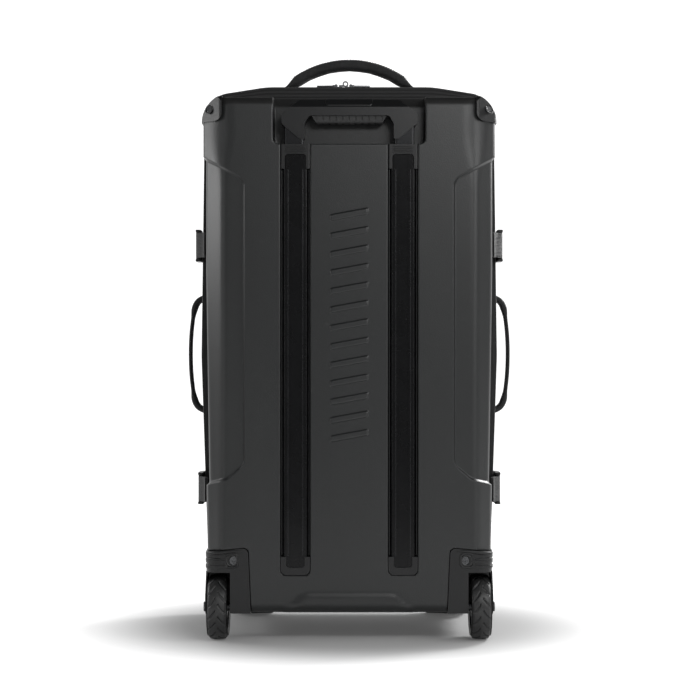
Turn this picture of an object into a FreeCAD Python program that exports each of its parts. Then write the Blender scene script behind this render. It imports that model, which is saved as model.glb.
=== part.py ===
"""Wheeled equipment case: a moulded hard rear shell with a telescopic handle, two corner wheels and
a deep soft front half that opens on a zipper, hinged along the bottom edge.

Frame: millimetres, +Z up, +X across the case, -Y out of the hard rear shell.
The origin is on the floor, at the middle of the case's width and depth.
Depths are measured forwards from the shell's rear face and turned into Y by depth().
"""

import FreeCAD
import Part

import math
import os

from FreeCAD import Vector

# ---------------------------------------------------------------- driving dimensions
REAR_OVERHANG = 12.0  # the wheels stand this far behind the shell's rear face
FRONT_DEPTH = 330.0  # rear face to the front of the lower pocket
SHELL_HALF = 207.0
SHELL_HALF_LOW = 199.0
SHELL_WAIST = 520.0  # the sides lean in below this height
SHELL_TOP = 766.0
SHELL_BOTTOM = 41.0
SHELL_DEPTH = 88.0
WALL = 3.0
SOFT_TOP = 791.0
SOFT_BOTTOM = 41.0
SOFT_HALF = 214.0
SOFT_HALF_LOW = 202.0
ZIP_DEPTH = 108.0  # the plane where the two halves part
FRONT_PANEL_DEPTH = 296.0
PANEL = 6.0  # padded fabric wall

INSET_STEP = 3.5  # the side fields lie this far below the middle field
STEP_X = 147.0

TUBE_X = 75.5
INNER_TUBE_X = 77.5
CHANNEL_WIDTH = 42.0
CHANNEL_DEPTH = 24.0
CHANNEL_BOTTOM = 94.0
RECESS_HALF = 107.0
RECESS_BOTTOM = 699.0
RECESS_DEPTH = 33.0
HANDLE_TRAVEL = 380.0
BUTTON_TRAVEL = 4.0

WHEEL_X = 185.5
WHEEL_DEPTH = 34.0
WHEEL_RADIUS = 46.0
WHEEL_WIDTH = 29.0
AXLE_RADIUS = 4.0
WELL_INNER = 167.0  # the wheel well is open outwards from here
HOUSING_SIDE = 201.5
LEG_INNER = 200.6
LEG_OUTER = 203.6
AXLE_CAP = 206.4
NUT_INNER = 160.5
NOTCH_INNER_LOW = 136.5
NOTCH_INNER_HIGH = 141.5
NOTCH_TOP = 133.0
NOTCH_TOP_OUTER = 127.0

STRAP_LEVELS = {"upper": 561.0, "lower": 210.0}
STRAP_WIDTH = 38.0
HANDLE_LEVEL = 404.0  # middle of the two side handles
TOP_HANDLE_DEPTH = 150.0

REAR = REAR_OVERHANG - (REAR_OVERHANG + FRONT_DEPTH) / 2  # Y of the shell's rear face
FAR = 260.0  # past every side of the case, for cutting tools

SIDES = {"left": -1.0, "right": 1.0}


# ---------------------------------------------------------------- shape helpers
def depth(d):
    """Y of a plane d behind the rear face, towards the soft front."""
    return REAR + d


PLANES = {
    "xz": (lambda a, b, c: Vector(a, depth(c), b)),
    "xy": (lambda a, b, c: Vector(a, depth(b), c)),
    "yz": (lambda a, b, c: Vector(c, depth(a), b)),
}


def corner(before, here, after, radius):
    """The two tangent points and the middle of the arc that rounds one corner of an outline."""
    to_before = Vector(before[0] - here[0], before[1] - here[1], 0)
    to_after = Vector(after[0] - here[0], after[1] - here[1], 0)
    half = to_before.getAngle(to_after) / 2
    reach = radius / math.tan(half)
    to_before.normalize()
    to_after.normalize()
    bisector = to_before + to_after
    bisector.normalize()
    point = Vector(here[0], here[1], 0)
    middle = point + bisector * (radius / math.sin(half) - radius)
    return point + to_before * reach, middle, point + to_after * reach


def outline(points, plane, level):
    """A closed wire through points (a, b) or (a, b, radius), with the corners rounded."""
    place = PLANES[plane]
    ends = []
    for i, here in enumerate(points):
        radius = here[2] if len(here) > 2 else 0.0
        if radius:
            found = corner(points[i - 1], here, points[(i + 1) % len(points)], radius)
        else:
            found = (Vector(here[0], here[1], 0),)
        ends.append([place(p.x, p.y, level) for p in found])
    edges = []
    for i, found in enumerate(ends):
        if len(found) == 3:
            edges.append(Part.Arc(*found).toShape())
        following = ends[(i + 1) % len(ends)][0]
        if found[-1].distanceToPoint(following) > 1e-6:
            edges.append(Part.LineSegment(found[-1], following).toShape())
    return Part.Wire(edges)


def prism(points, plane, low, high):
    """The outline carried from low to high along the axis that its plane leaves out."""
    place = PLANES[plane]
    face = Part.Face(outline(points, plane, low))
    return face.extrude(place(0, 0, high) - place(0, 0, low))


def inset(points, distance):
    """The outline moved inwards by distance, its corners' radii shrinking to suit.

    The points run anticlockwise.
    """
    moved = []
    for i, here in enumerate(points):
        lines = []
        for start, end in ((points[i - 1], here), (here, points[(i + 1) % len(points)])):
            along = Vector(end[0] - start[0], end[1] - start[1], 0)
            along.normalize()
            inward = Vector(-along.y, along.x, 0)
            lines.append((Vector(here[0], here[1], 0) + inward * distance, along))
        (p, u), (q, v) = lines
        cross = u.x * v.y - u.y * v.x
        share = ((q.x - p.x) * v.y - (q.y - p.y) * v.x) / cross if abs(cross) > 1e-9 else 0.0
        point = p + u * share
        radius = here[2] if len(here) > 2 else 0.0
        moved.append((point.x, point.y, max(radius - distance, 0.5) if radius else 0.0))
    return moved


def mirrored(points):
    """The outline on the other side of the YZ plane, still anticlockwise."""
    return [(-p[0],) + tuple(p[1:]) for p in reversed(points)]


def on_side(points, sign):
    return points if sign > 0 else mirrored(points)


def block(x0, x1, d0, d1, z0, z1):
    """A box between two Xs, two depths and two heights."""
    low, high = min(x0, x1), max(x0, x1)
    return Part.makeBox(high - low, d1 - d0, z1 - z0, Vector(low, depth(d0), z0))


def rounded_bar(x, d, wide, deep, z0, z1, radius):
    """An upright bar with a rounded rectangular section, centred on x and d."""
    a, b = wide / 2, deep / 2
    section = [
        (x - a, d - b, radius),
        (x + a, d - b, radius),
        (x + a, d + b, radius),
        (x - a, d + b, radius),
    ]
    return prism(section, "xy", z0, z1)


def rod(radius, start, end):
    """A cylinder between two points given as (x, depth, z)."""
    a = Vector(start[0], depth(start[1]), start[2])
    b = Vector(end[0], depth(end[1]), end[2])
    return Part.makeCylinder(radius, a.distanceToPoint(b), a, b - a)


def cross_rod(radius, x0, x1, d, z):
    return rod(radius, (x0, d, z), (x1, d, z))


def joined(solids):
    """Touching or overlapping solids as one."""
    first, rest = solids[0], solids[1:]
    return first.multiFuse(rest).removeSplitter() if rest else first


def save(name, *solids):
    """Writes a node's solids to parts/NAME.step."""
    found = [s for shape in solids for s in shape.Solids]
    if not found or not all(s.isValid() and s.Volume > 1.0 for s in found):
        raise ValueError(f"{name} has no sound solid")
    shape = found[0] if len(found) == 1 else Part.makeCompound(found)
    shape.exportStep(f"parts/{name}.step")


# ---------------------------------------------------------------- outlines
def shell_front(distance=0.0):
    """The shell seen from behind."""
    points = [
        (-SHELL_HALF_LOW, SHELL_BOTTOM, 22.0),
        (SHELL_HALF_LOW, SHELL_BOTTOM, 22.0),
        (SHELL_HALF, SHELL_WAIST, 300.0),
        (SHELL_HALF, SHELL_TOP, 36.0),
        (-SHELL_HALF, SHELL_TOP, 36.0),
        (-SHELL_HALF, SHELL_WAIST, 300.0),
    ]
    return inset(points, distance) if distance else points


def shell_plan(distance=0.0, step=0.0):
    """The shell seen from above, a flat back between two bevels. step lowers it for the side fields."""
    bevel = 28.0
    points = [
        (-SHELL_HALF, SHELL_DEPTH + 40.0),
        (-SHELL_HALF, bevel, 14.0),
        (-SHELL_HALF + bevel, 0.0, 9.0),
        (SHELL_HALF - bevel, 0.0, 9.0),
        (SHELL_HALF, bevel, 14.0),
        (SHELL_HALF, SHELL_DEPTH + 40.0),
    ]
    return inset(points, distance + step)


def shell_side(distance=0.0):
    """The shell seen from the side, with its rear top and bottom edges rounded."""
    points = [
        (0.0, SHELL_TOP, 12.0),
        (0.0, SHELL_BOTTOM, 14.0),
        (SHELL_DEPTH + 40.0, SHELL_BOTTOM),
        (SHELL_DEPTH + 40.0, SHELL_TOP),
    ]
    return inset(points, distance)


def soft_front(distance=0.0):
    """The soft front half seen from behind: crowned on top and a little fuller at the sides."""
    points = [
        (-SOFT_HALF_LOW, SOFT_BOTTOM, 24.0),
        (SOFT_HALF_LOW, SOFT_BOTTOM, 24.0),
        (SOFT_HALF, 400.0, 300.0),
        (209.0, 777.0, 38.0),
        (120.0, SOFT_TOP, 120.0),
        (-120.0, SOFT_TOP, 120.0),
        (-209.0, 777.0, 38.0),
        (-SOFT_HALF, 400.0, 300.0),
    ]
    return inset(points, distance) if distance else points


def soft_half_at(z):
    """Half the soft part's width at a height, on its outline's straight sides."""
    if z < 400.0:
        return SOFT_HALF_LOW + (SOFT_HALF - SOFT_HALF_LOW) * (z - SOFT_BOTTOM) / (400.0 - SOFT_BOTTOM)
    return SOFT_HALF + (209.0 - SOFT_HALF) * (z - 400.0) / (777.0 - 400.0)


def shell_half_at(z):
    """Half the shell's width at a height, on its outline's straight sides."""
    share = (z - SHELL_BOTTOM) / (SHELL_WAIST - SHELL_BOTTOM)
    return min(SHELL_HALF, SHELL_HALF_LOW + (SHELL_HALF - SHELL_HALF_LOW) * share)


def soft_ring(outer, inner, d0, d1):
    """A band of the soft outline, between two insets and two depths."""
    return prism(soft_front(outer), "xz", d0, d1).cut(prism(soft_front(inner), "xz", d0 - 1, d1 + 1))


def side_field(grow=0.0):
    """The lowered field on the right side, seen from behind."""
    points = [
        (STEP_X, 249.0, 10.0),
        (171.0, 229.0, 10.0),
        (230.0, 214.0),
        (230.0, 695.0),
        (STEP_X, 649.0, 16.0),
    ]
    return inset(points, -grow) if grow else points


def wheel_notch(grow=0.0):
    """The corner cut out of the shell for the right wheel housing, seen from behind."""
    points = [
        (NOTCH_INNER_LOW, 20.0),
        (FAR, 20.0),
        (FAR, NOTCH_TOP_OUTER - 6.0),
        (NOTCH_INNER_HIGH, NOTCH_TOP, 8.0),
    ]
    return inset(points, -grow) if grow else points


# ---------------------------------------------------------------- hard rear shell
def shell_volume(distance):
    """The shell's outer form moved inwards by distance, with its side fields lowered."""
    body = prism(shell_front(distance), "xz", -10.0, SHELL_DEPTH + 20.0)
    body = body.common(prism(shell_plan(distance), "xy", 0.0, 900.0))
    body = body.common(prism(shell_side(distance), "yz", -FAR, FAR))
    lowered = prism(shell_plan(distance, INSET_STEP), "xy", 0.0, 900.0)
    for sign in SIDES.values():
        field = prism(on_side(side_field(distance), sign), "xz", -10.0, SHELL_DEPTH + 21.0)
        body = body.cut(field.cut(lowered))
    return body


def channel(grow):
    """The two tube channels and the grip's recess, open at the top and to the rear."""
    half = CHANNEL_WIDTH / 2 + grow
    cuts = []
    for sign in SIDES.values():
        x = sign * TUBE_X
        points = [
            (x - half, CHANNEL_BOTTOM - grow, 9.0 + grow),
            (x + half, CHANNEL_BOTTOM - grow, 9.0 + grow),
            (x + half, RECESS_BOTTOM + 20.0),
            (x - half, RECESS_BOTTOM + 20.0),
        ]
        cuts.append(prism(points, "xz", -20.0, CHANNEL_DEPTH + grow))
    wide = RECESS_HALF + grow
    points = [
        (-wide, RECESS_BOTTOM - grow, 9.0),
        (wide, RECESS_BOTTOM - grow, 9.0),
        (wide, SHELL_TOP + 30.0),
        (-wide, SHELL_TOP + 30.0),
    ]
    cuts.append(prism(points, "xz", -20.0, RECESS_DEPTH + grow))
    return joined(cuts)


def rivet_points():
    """Where each foot bracket is riveted through the channel's floor, as X and Z."""
    return [(sign * TUBE_X, CHANNEL_BOTTOM + 4.6) for sign in SIDES.values()]


def housing_bolt(sign):
    """Where the wheel housing's through bolt lies, as X and Z."""
    return sign * 161.5, 115.0


def rear_shell():
    """The moulded shell with its channels, recess and wheel corners, open towards the soft half."""
    front = block(-FAR, FAR, -20.0, SHELL_DEPTH, 0.0, 900.0)
    solid = shell_volume(0.0).common(front)
    shell = solid.cut(shell_volume(WALL))
    shell = shell.fuse(solid.common(channel(WALL)))
    for sign in SIDES.values():
        shell = shell.fuse(solid.common(prism(on_side(wheel_notch(WALL), sign), "xz", -20.0, SHELL_DEPTH)))
    shell = shell.cut(channel(0.0))
    for sign in SIDES.values():
        shell = shell.cut(prism(on_side(wheel_notch(), sign), "xz", -20.0, SHELL_DEPTH - WALL))
        x, z = housing_bolt(sign)
        shell = shell.cut(rod(2.7, (x, SHELL_DEPTH - 10, z), (x, SHELL_DEPTH + 10, z)))
        shell = shell.cut(guard_rivet_rod(sign, 2.1, -14.0, 9.0))
    for x, z in rivet_points():
        shell = shell.cut(rod(1.7, (x, 10.0, z), (x, 40.0, z)))
    return shell.removeSplitter()


def guard_rivet_rod(sign, radius, start, end):
    """A rod along a guard rivet's slanted axis, between two distances out of the guard's surface."""
    place = Vector(sign * 197.0, depth(14.6), 749.5)
    axis = Vector(sign * 0.65, -0.68, 0.33)
    axis.normalize()
    return Part.makeCylinder(radius, end - start, place + axis * start, axis)


def corner_guard(sign):
    """A cap over a top corner of the shell, with a spot face for its rivet."""
    thick = 2.4
    cap = shell_volume(-thick).cut(shell_volume(0.0))
    points = [(178.5, 731.5, 12.0), (FAR, 731.5), (FAR, 800.0), (178.5, 800.0)]
    cap = cap.common(prism(on_side(points, sign), "xz", -10.0, 62.0))
    cap = cap.cut(guard_rivet_rod(sign, 5.4, -0.5, 9.0))
    return cap.cut(guard_rivet_rod(sign, 2.1, -14.0, 9.0))


def shell_rivets():
    """The guards' rivets, and the ones that hold each foot bracket to its channel's floor."""
    rivets = []
    for sign in SIDES.values():
        shank = guard_rivet_rod(sign, 2.0, -9.0, 0.0)
        head = guard_rivet_rod(sign, 4.9, -0.45, 1.0)
        rivets.append(joined([shank, head]))
    floor = CHANNEL_DEPTH + WALL
    for x, z in rivet_points():
        shank = rod(1.6, (x, 13.0, z), (x, floor, z))
        head = rod(3.4, (x, floor, z), (x, floor + 1.8, z))
        rivets.append(joined([shank, head]))
    return rivets


# ---------------------------------------------------------------- wheels
def wheel_housing(sign):
    """The corner moulding round a wheel: a block with a wheel well, an outer leg and moulded ribs."""
    gap, rear = 0.4, -1.2
    body = prism(on_side(wheel_notch(-gap), sign), "xz", rear, SHELL_DEPTH - WALL - gap)
    plan = [(120.0, 100.0), (120.0, rear), (HOUSING_SIDE, rear, 20.0), (HOUSING_SIDE, 100.0)]
    body = body.common(prism(on_side(plan, sign), "xy", SHELL_BOTTOM, 200.0))
    proud = 1.1
    for level in (104.0, 111.5, 119.0):  # three grip ribs round the upper corner
        rib = [(172.0, 90.0), (172.0, rear - proud), (HOUSING_SIDE + proud, rear - proud, 21.0)]
        rib = prism(on_side(rib + [(HOUSING_SIDE + proud, 90.0)], sign), "xy", level, level + 4.0)
        body = body.fuse(rib.common(block(sign * 172.0, sign * FAR, -9.0, 70.0, 100.0, 130.0)))
    half = WHEEL_RADIUS + 3.5
    well = [
        (WHEEL_DEPTH - 2 * half, 20.0),
        (WHEEL_DEPTH + half, 20.0),
        (WHEEL_DEPTH + half, 98.0, 40.0),
        (WHEEL_DEPTH - 2 * half, 98.0),
    ]
    ends = sorted([sign * WELL_INNER, sign * FAR])
    body = body.cut(prism(well, "yz", *ends))
    body = body.cut(block(sign * 144.5, sign * 150.0, 4.0, 90.0, 46.0, 124.0))
    body = body.cut(block(sign * 150.0, sign * (WELL_INNER - 2.0), 4.0, 90.0, 46.0, 98.0))
    nut_room = block(sign * 157.0, sign * (WELL_INNER - 2.0), WHEEL_DEPTH - 9, WHEEL_DEPTH + 9, 30.0, 60.0)
    body = body.cut(nut_room)
    body = joined([body, wheel_leg(sign)])
    body = body.cut(cross_rod(AXLE_RADIUS + 0.1, sign * 140.0, sign * 215.0, WHEEL_DEPTH, WHEEL_RADIUS))
    x, z = housing_bolt(sign)
    body = body.cut(rod(7.0, (x, -5.0, z), (x, 1.6, z)))
    return body.cut(rod(2.7, (x, 0.0, z), (x, 90.0, z)))


def wheel_leg(sign):
    """The outer leg of a housing, tapering to a round boss at the axle and leaning clear of the tyre."""
    side = [
        (WHEEL_DEPTH + 9.0, WHEEL_RADIUS - 10.0, 8.0),
        (WHEEL_DEPTH + 30.0, 99.0),
        (WHEEL_DEPTH - 22.0, 99.0),
        (WHEEL_DEPTH - 9.0, WHEEL_RADIUS - 10.0, 8.0),
    ]
    lean = [
        (LEG_INNER, 30.0),
        (LEG_OUTER, 30.0),
        (LEG_OUTER, 62.0),
        (HOUSING_SIDE, 99.0),
        (HOUSING_SIDE - 3.0, 99.0),
        (LEG_INNER, 88.0),
    ]
    leg = prism(side, "yz", min(sign * 190.0, sign * FAR), max(sign * 190.0, sign * FAR))
    return leg.common(prism(on_side(lean, sign), "xz", -20.0, 90.0))


def housing_bolts():
    """A cross-slotted through bolt in each wheel housing, with its nut inside the case."""
    bolts = []
    for sign in SIDES.values():
        x, z = housing_bolt(sign)
        head = rod(6.2, (x, -1.6, z), (x, 1.6, z))
        head = head.cut(block(x - 0.8, x + 0.8, -2.0, 0.2, z - 4.0, z + 4.0))
        head = head.cut(block(x - 4.0, x + 4.0, -2.0, 0.2, z - 0.8, z + 0.8))
        shank = rod(2.5, (x, 1.6, z), (x, SHELL_DEPTH + 4.0, z))
        nut = rod(5.0, (x, SHELL_DEPTH, z), (x, SHELL_DEPTH + 4.0, z))
        bolts.append(joined([head, shank, nut]))
    return bolts


def turned(profile, x, sign):
    """A profile of (offset, radius) points turned round the axle. A third number rounds a corner."""
    points = [(p[0] * sign + x, p[1] + WHEEL_RADIUS) + tuple(p[2:]) for p in profile]
    points = points if sign > 0 else list(reversed(points))
    face = Part.Face(outline(points, "xz", WHEEL_DEPTH))
    return face.revolve(Vector(0, depth(WHEEL_DEPTH), WHEEL_RADIUS), Vector(1, 0, 0), 360)


TYRE_INNER = 33.5
BEARING_OUTER = 11.0
BEARING_WIDTH = 7.0
HUB_HALF = 12.6


def tyre(sign):
    """A soft tyre with a slightly crowned tread."""
    half, flat = WHEEL_WIDTH / 2, 3.0
    profile = [
        (-half + 1.5, TYRE_INNER),
        (half - 1.5, TYRE_INNER),
        (half, 38.0, 3.0),
        (half - 4.0, WHEEL_RADIUS - 2.4, 5.0),
        (flat, WHEEL_RADIUS, 14.0),
        (-flat, WHEEL_RADIUS, 14.0),
        (-half + 4.0, WHEEL_RADIUS - 2.4, 5.0),
        (-half, 38.0, 3.0),
    ]
    return turned(profile, sign * WHEEL_X, sign)


def hub(sign):
    """A spoked rim with a seat for a bearing at each end of its boss."""
    x = sign * WHEEL_X
    seat = TYRE_INNER - 0.05
    rim = turned([(-11.0, 29.5), (11.0, 29.5), (11.0, seat), (-11.0, seat)], x, sign)
    web = turned([(-4.0, 12.0), (4.0, 12.0), (4.0, 30.0), (-4.0, 30.0)], x, sign)
    seat = BEARING_OUTER + 0.02
    boss = turned([(-HUB_HALF, seat), (HUB_HALF, seat), (HUB_HALF, 15.5), (-HUB_HALF, 15.5)], x, sign)
    shelf_half = HUB_HALF - BEARING_WIDTH
    shelf = [(-shelf_half, 7.0), (shelf_half, 7.0), (shelf_half, 12.0), (-shelf_half, 12.0)]
    shelf = turned(shelf, x, sign)
    body = joined([rim, web, boss, shelf])
    for i in range(5):
        angle = math.radians(72.0 * i + 36.0)
        d = WHEEL_DEPTH + 22.5 * math.cos(angle)
        z = WHEEL_RADIUS + 22.5 * math.sin(angle)
        body = body.cut(cross_rod(5.6, x - 10.0, x + 10.0, d, z))
    return body


def bearings(sign):
    """Two ball bearings, each simplified to one ring."""
    rings = []
    for end in (-1.0, 1.0):
        inner, outer = end * (HUB_HALF - BEARING_WIDTH), end * HUB_HALF
        low, high = min(inner, outer), max(inner, outer)
        bore = AXLE_RADIUS + 0.04
        profile = [(low, bore), (high, bore), (high, BEARING_OUTER), (low, BEARING_OUTER)]
        rings.append(turned(profile, sign * WHEEL_X, sign))
    return rings


def axle(sign):
    """A wheel's bolt, with a domed cap outside the leg and a nut inside the housing."""
    nut_end = WELL_INNER - 2.05
    shank = cross_rod(AXLE_RADIUS, sign * NUT_INNER, sign * (LEG_OUTER + 1.0), WHEEL_DEPTH, WHEEL_RADIUS)
    cap = cross_rod(7.0, sign * (LEG_OUTER + 0.05), sign * AXLE_CAP, WHEEL_DEPTH, WHEEL_RADIUS)
    nut = cross_rod(6.5, sign * NUT_INNER, sign * nut_end, WHEEL_DEPTH, WHEEL_RADIUS)
    return joined([shank, cap, nut])


def axle_spacers(sign):
    """A washer each side of a wheel."""
    ends = (
        (WELL_INNER + 0.05, WHEEL_X - HUB_HALF - 0.05),
        (WHEEL_X + HUB_HALF + 0.05, LEG_INNER - 0.05),
    )
    rings = []
    for low, high in ends:
        ring = cross_rod(6.2, sign * low, sign * high, WHEEL_DEPTH, WHEEL_RADIUS)
        rings.append(ring.cut(cross_rod(4.1, sign * 150.0, sign * 215.0, WHEEL_DEPTH, WHEEL_RADIUS)))
    return rings


# ---------------------------------------------------------------- telescopic handle
OUTER_TUBE = (36.0, 20.0, 1.6, 5.0)  # width, depth, wall, corner radius
INNER_TUBE = (27.8, 16.2, 1.3, 3.4)
TUBE_DEPTH = 12.5
OUTER_TUBE_ENDS = (102.0, 697.0)
INNER_TUBE_ENDS = (128.0, 724.0)
LOCK_LEVEL = 150.0  # height of the lock bolts


def tube(x, size, ends):
    wide, deep, wall, radius = size
    outside = rounded_bar(x, TUBE_DEPTH, wide, deep, ends[0], ends[1], radius)
    wide_in = wide - 2 * wall
    deep_in = deep - 2 * wall
    hollow = rounded_bar(x, TUBE_DEPTH, wide_in, deep_in, ends[0] - 1, ends[1] + 1, radius - wall)
    return outside.cut(hollow)


def outer_tube(sign):
    """The fixed rail: a flat aluminium tube with a shallow groove and the lock bolt's two holes."""
    x = sign * TUBE_X
    body = tube(x, OUTER_TUBE, OUTER_TUBE_ENDS)
    rear = TUBE_DEPTH - OUTER_TUBE[1] / 2
    body = body.cut(block(x - 7.0, x + 7.0, 0.0, rear + 0.7, 90.0, 700.0))
    for level in (LOCK_LEVEL, LOCK_LEVEL + HANDLE_TRAVEL):
        middle = (sign * INNER_TUBE_X, TUBE_DEPTH, level)
        body = body.cut(rod(3.2, middle, (sign * INNER_TUBE_X, 30.0, level)))
    return body


def inner_tube(sign):
    """The sliding tube, with a hole in its front wall for the lock bolt."""
    x = sign * INNER_TUBE_X
    body = tube(x, INNER_TUBE, INNER_TUBE_ENDS)
    return body.cut(rod(3.2, (x, TUBE_DEPTH, LOCK_LEVEL), (x, 30.0, LOCK_LEVEL)))


def bracket_block(sign, z0, z1):
    """A block that fills the channel's section between two heights."""
    middle = CHANNEL_DEPTH / 2 + 0.3
    wide = CHANNEL_WIDTH - 0.6
    deep = CHANNEL_DEPTH - 0.8
    return rounded_bar(sign * TUBE_X, middle, wide, deep, z0, z1, 2.0)


def tube_hole(sign, z0, z1):
    wide, deep, _, radius = OUTER_TUBE
    return rounded_bar(sign * TUBE_X, TUBE_DEPTH, wide + 0.1, deep + 0.1, z0, z1, radius)


def head_bracket(sign):
    """The collar at the top of a channel that holds the fixed tube and guides the sliding one."""
    z0, z1 = 664.0, 698.6
    body = bracket_block(sign, z0, z1).cut(tube_hole(sign, z0 - 1, OUTER_TUBE_ENDS[1] + 0.05))
    wide, deep, _, radius = INNER_TUBE
    x = sign * TUBE_X
    size = (wide + 0.8, deep + 0.8)
    guide = rounded_bar(sign * INNER_TUBE_X, TUBE_DEPTH, *size, z0 - 1, z1 + 1, radius + 0.4)
    window = [(x - 15.0, z0 - 1), (x + 15.0, z0 - 1), (x + 15.0, 685.0, 5.0), (x - 15.0, 685.0, 5.0)]
    return body.cut(guide).cut(prism(window, "xz", -5.0, 4.0))


def foot_bracket(sign):
    """The cup at the bottom of a channel that the fixed tube stands in."""
    x, half, z0, z1 = sign * TUBE_X, CHANNEL_WIDTH / 2 - 0.4, CHANNEL_BOTTOM + 0.4, 120.0
    points = [(x - half, z0, 8.6), (x + half, z0, 8.6), (x + half, z1), (x - half, z1)]
    body = prism(points, "xz", 0.8, CHANNEL_DEPTH - 0.1)
    body = body.cut(tube_hole(sign, OUTER_TUBE_ENDS[0], z1 + 1))
    window = [(x - 13.0, 105.0, 4.0), (x + 13.0, 105.0, 4.0), (x + 13.0, z1 + 1), (x - 13.0, z1 + 1)]
    body = body.cut(prism(window, "xz", -5.0, 2.6))
    return body.cut(rod(1.7, (x, 12.0, z0 + 4.2), (x, 40.0, z0 + 4.2)))


GRIP_REAR = 2.5
GRIP_FRONT = 27.5
GRIP_TOP = 762.0
GRIP_SEAM = 739.0  # the bar's underside, where the finger insert starts
INSERT_BOTTOM = 728.0
GRIP_BEVEL_LOW = 751.0  # the bar's rear top edge is bevelled between this height and a depth
GRIP_BEVEL_DEPTH = 12.0
HOLLOW_FLOOR = 741.0
YOKE_LEVEL = 747.0
BUTTON_BOTTOM = 748.8


def grip_body():
    """The handle's housing: a bar with two arms that take the sliding tubes."""
    right = [
        (56.0, GRIP_SEAM, 5.0),
        (62.5, 728.0, 6.0),
        (62.5, 705.5, 3.0),
        (70.0, 706.5, 3.0),
        (95.0, 727.5, 3.0),
        (95.0, 741.0, 3.0),
        (71.0, GRIP_TOP, 5.0),
    ]
    body = prism(right + mirrored(right), "xz", GRIP_REAR, GRIP_FRONT)
    body = body.common(prism(bevelled(0.0), "yz", -FAR, FAR))
    wide, deep, _, radius = INNER_TUBE
    body = body.cut(block(-80.7, 80.7, 10.0, 20.0, HOLLOW_FLOOR, 751.0))
    for sign in SIDES.values():
        x = sign * INNER_TUBE_X
        body = body.cut(rounded_bar(x, TUBE_DEPTH, wide, deep, 700.0, INNER_TUBE_ENDS[1] + 8.0, radius))
        body = body.cut(rod(2.2, (x, 14.0, 720.0), (x, 14.0, HOLLOW_FLOOR + 1.0)))
    return body.cut(button_prism(0.25, HOLLOW_FLOOR, GRIP_TOP + 1))


def bevelled(raised):
    """The grip's section below its bevelled rear top edge, seen from the side."""
    top = GRIP_TOP + raised
    return [
        (GRIP_REAR, 680.0),
        (GRIP_FRONT, 680.0),
        (GRIP_FRONT, top),
        (GRIP_BEVEL_DEPTH, top),
        (GRIP_REAR, GRIP_BEVEL_LOW + raised),
    ]


def button_prism(grow, z0, z1):
    half, low, high = 33.0 + grow, 4.4 - grow, 20.6 + grow
    points = [(-half, low, 4.0), (half, low, 4.0), (half, high, 4.0), (-half, high, 4.0)]
    return prism(points, "xy", z0, z1)


def release_button():
    """The thumb button on the bar's bevelled edge, standing a little proud."""
    return button_prism(0.0, BUTTON_BOTTOM, GRIP_TOP + 9).common(prism(bevelled(1.0), "yz", -FAR, FAR))


def grip_underside():
    """The soft finger insert under the grip's bar, with moulded ridges."""
    half, top = 52.5, GRIP_SEAM - 0.05
    section = [(6.0, top), (8.0, INSERT_BOTTOM, 7.0), (25.0, INSERT_BOTTOM, 7.0), (26.0, top)]
    body = prism(section, "yz", -half, half)
    slope = [(-half, top), (-half + 7.0, INSERT_BOTTOM - 1), (half - 7.0, INSERT_BOTTOM - 1), (half, top)]
    body = body.common(prism(slope, "xz", 0.0, 40.0))
    pitch, groove, count = 9.2, 2.0, 11
    for i in range(count):
        x = (i - (count - 1) / 2) * pitch
        body = body.cut(block(x - groove / 2, x + groove / 2, 0.0, 40.0, 720.0, INSERT_BOTTOM + 1.2))
        body = body.cut(block(x - groove / 2, x + groove / 2, 0.0, 8.0, 720.0, top - 1.0))
    return body


def release_yoke():
    """The cross bar under the button and the two pull rods that run down inside the sliding tubes."""
    bar = block(-79.7, 79.7, 12.0, 16.0, YOKE_LEVEL, BUTTON_BOTTOM)
    rods = []
    for sign in SIDES.values():
        x = sign * INNER_TUBE_X
        rods.append(rod(1.6, (x, 14.0, LOCK_LEVEL + 13.0), (x, 14.0, YOKE_LEVEL + 0.5)))
    return joined([bar, *rods])


def yoke_springs():
    """Two return springs under the yoke, each simplified to a sleeve."""
    springs = []
    for x in (-24.0, 24.0):
        sleeve = rod(1.9, (x, 14.0, HOLLOW_FLOOR), (x, 14.0, YOKE_LEVEL))
        springs.append(sleeve.cut(rod(1.3, (x, 14.0, HOLLOW_FLOOR - 1.0), (x, 14.0, YOKE_LEVEL + 1.0))))
    return springs


def lock_plug(sign):
    """The guide at the bottom of a sliding tube, with a bore for the lock bolt."""
    wide, deep, wall, radius = INNER_TUBE
    z0, z1 = INNER_TUBE_ENDS[0] - 3.0, LOCK_LEVEL + 8.0
    x = sign * INNER_TUBE_X
    inside = rounded_bar(x, TUBE_DEPTH, wide - 2 * wall, deep - 2 * wall, z0, z1, radius - wall)
    end = rounded_bar(x, TUBE_DEPTH, wide, deep, z0, INNER_TUBE_ENDS[0], radius)
    body = joined([inside, end])
    return body.cut(rod(3.1, (x, TUBE_DEPTH - 5.0, LOCK_LEVEL), (x, 30.0, LOCK_LEVEL)))


def lock_bolt(sign):
    """The bolt that locks a sliding tube, drawn withdrawn flush with the tube."""
    x = sign * INNER_TUBE_X
    front = TUBE_DEPTH + INNER_TUBE[1] / 2
    return rod(3.0, (x, TUBE_DEPTH - 1.0, LOCK_LEVEL), (x, front, LOCK_LEVEL))


# ---------------------------------------------------------------- soft front half and its seam
TAPE_REAR = (94.0, ZIP_DEPTH - 0.8)
TAPE_FRONT = (ZIP_DEPTH + 0.8, 122.0)
ZIP_END = 70.0  # the zipper stops at this height on both sides


def above(z):
    return block(-FAR, FAR, -20.0, 400.0, z, 900.0)


def below(z):
    return block(-FAR, FAR, -20.0, 400.0, 0.0, z)


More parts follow.
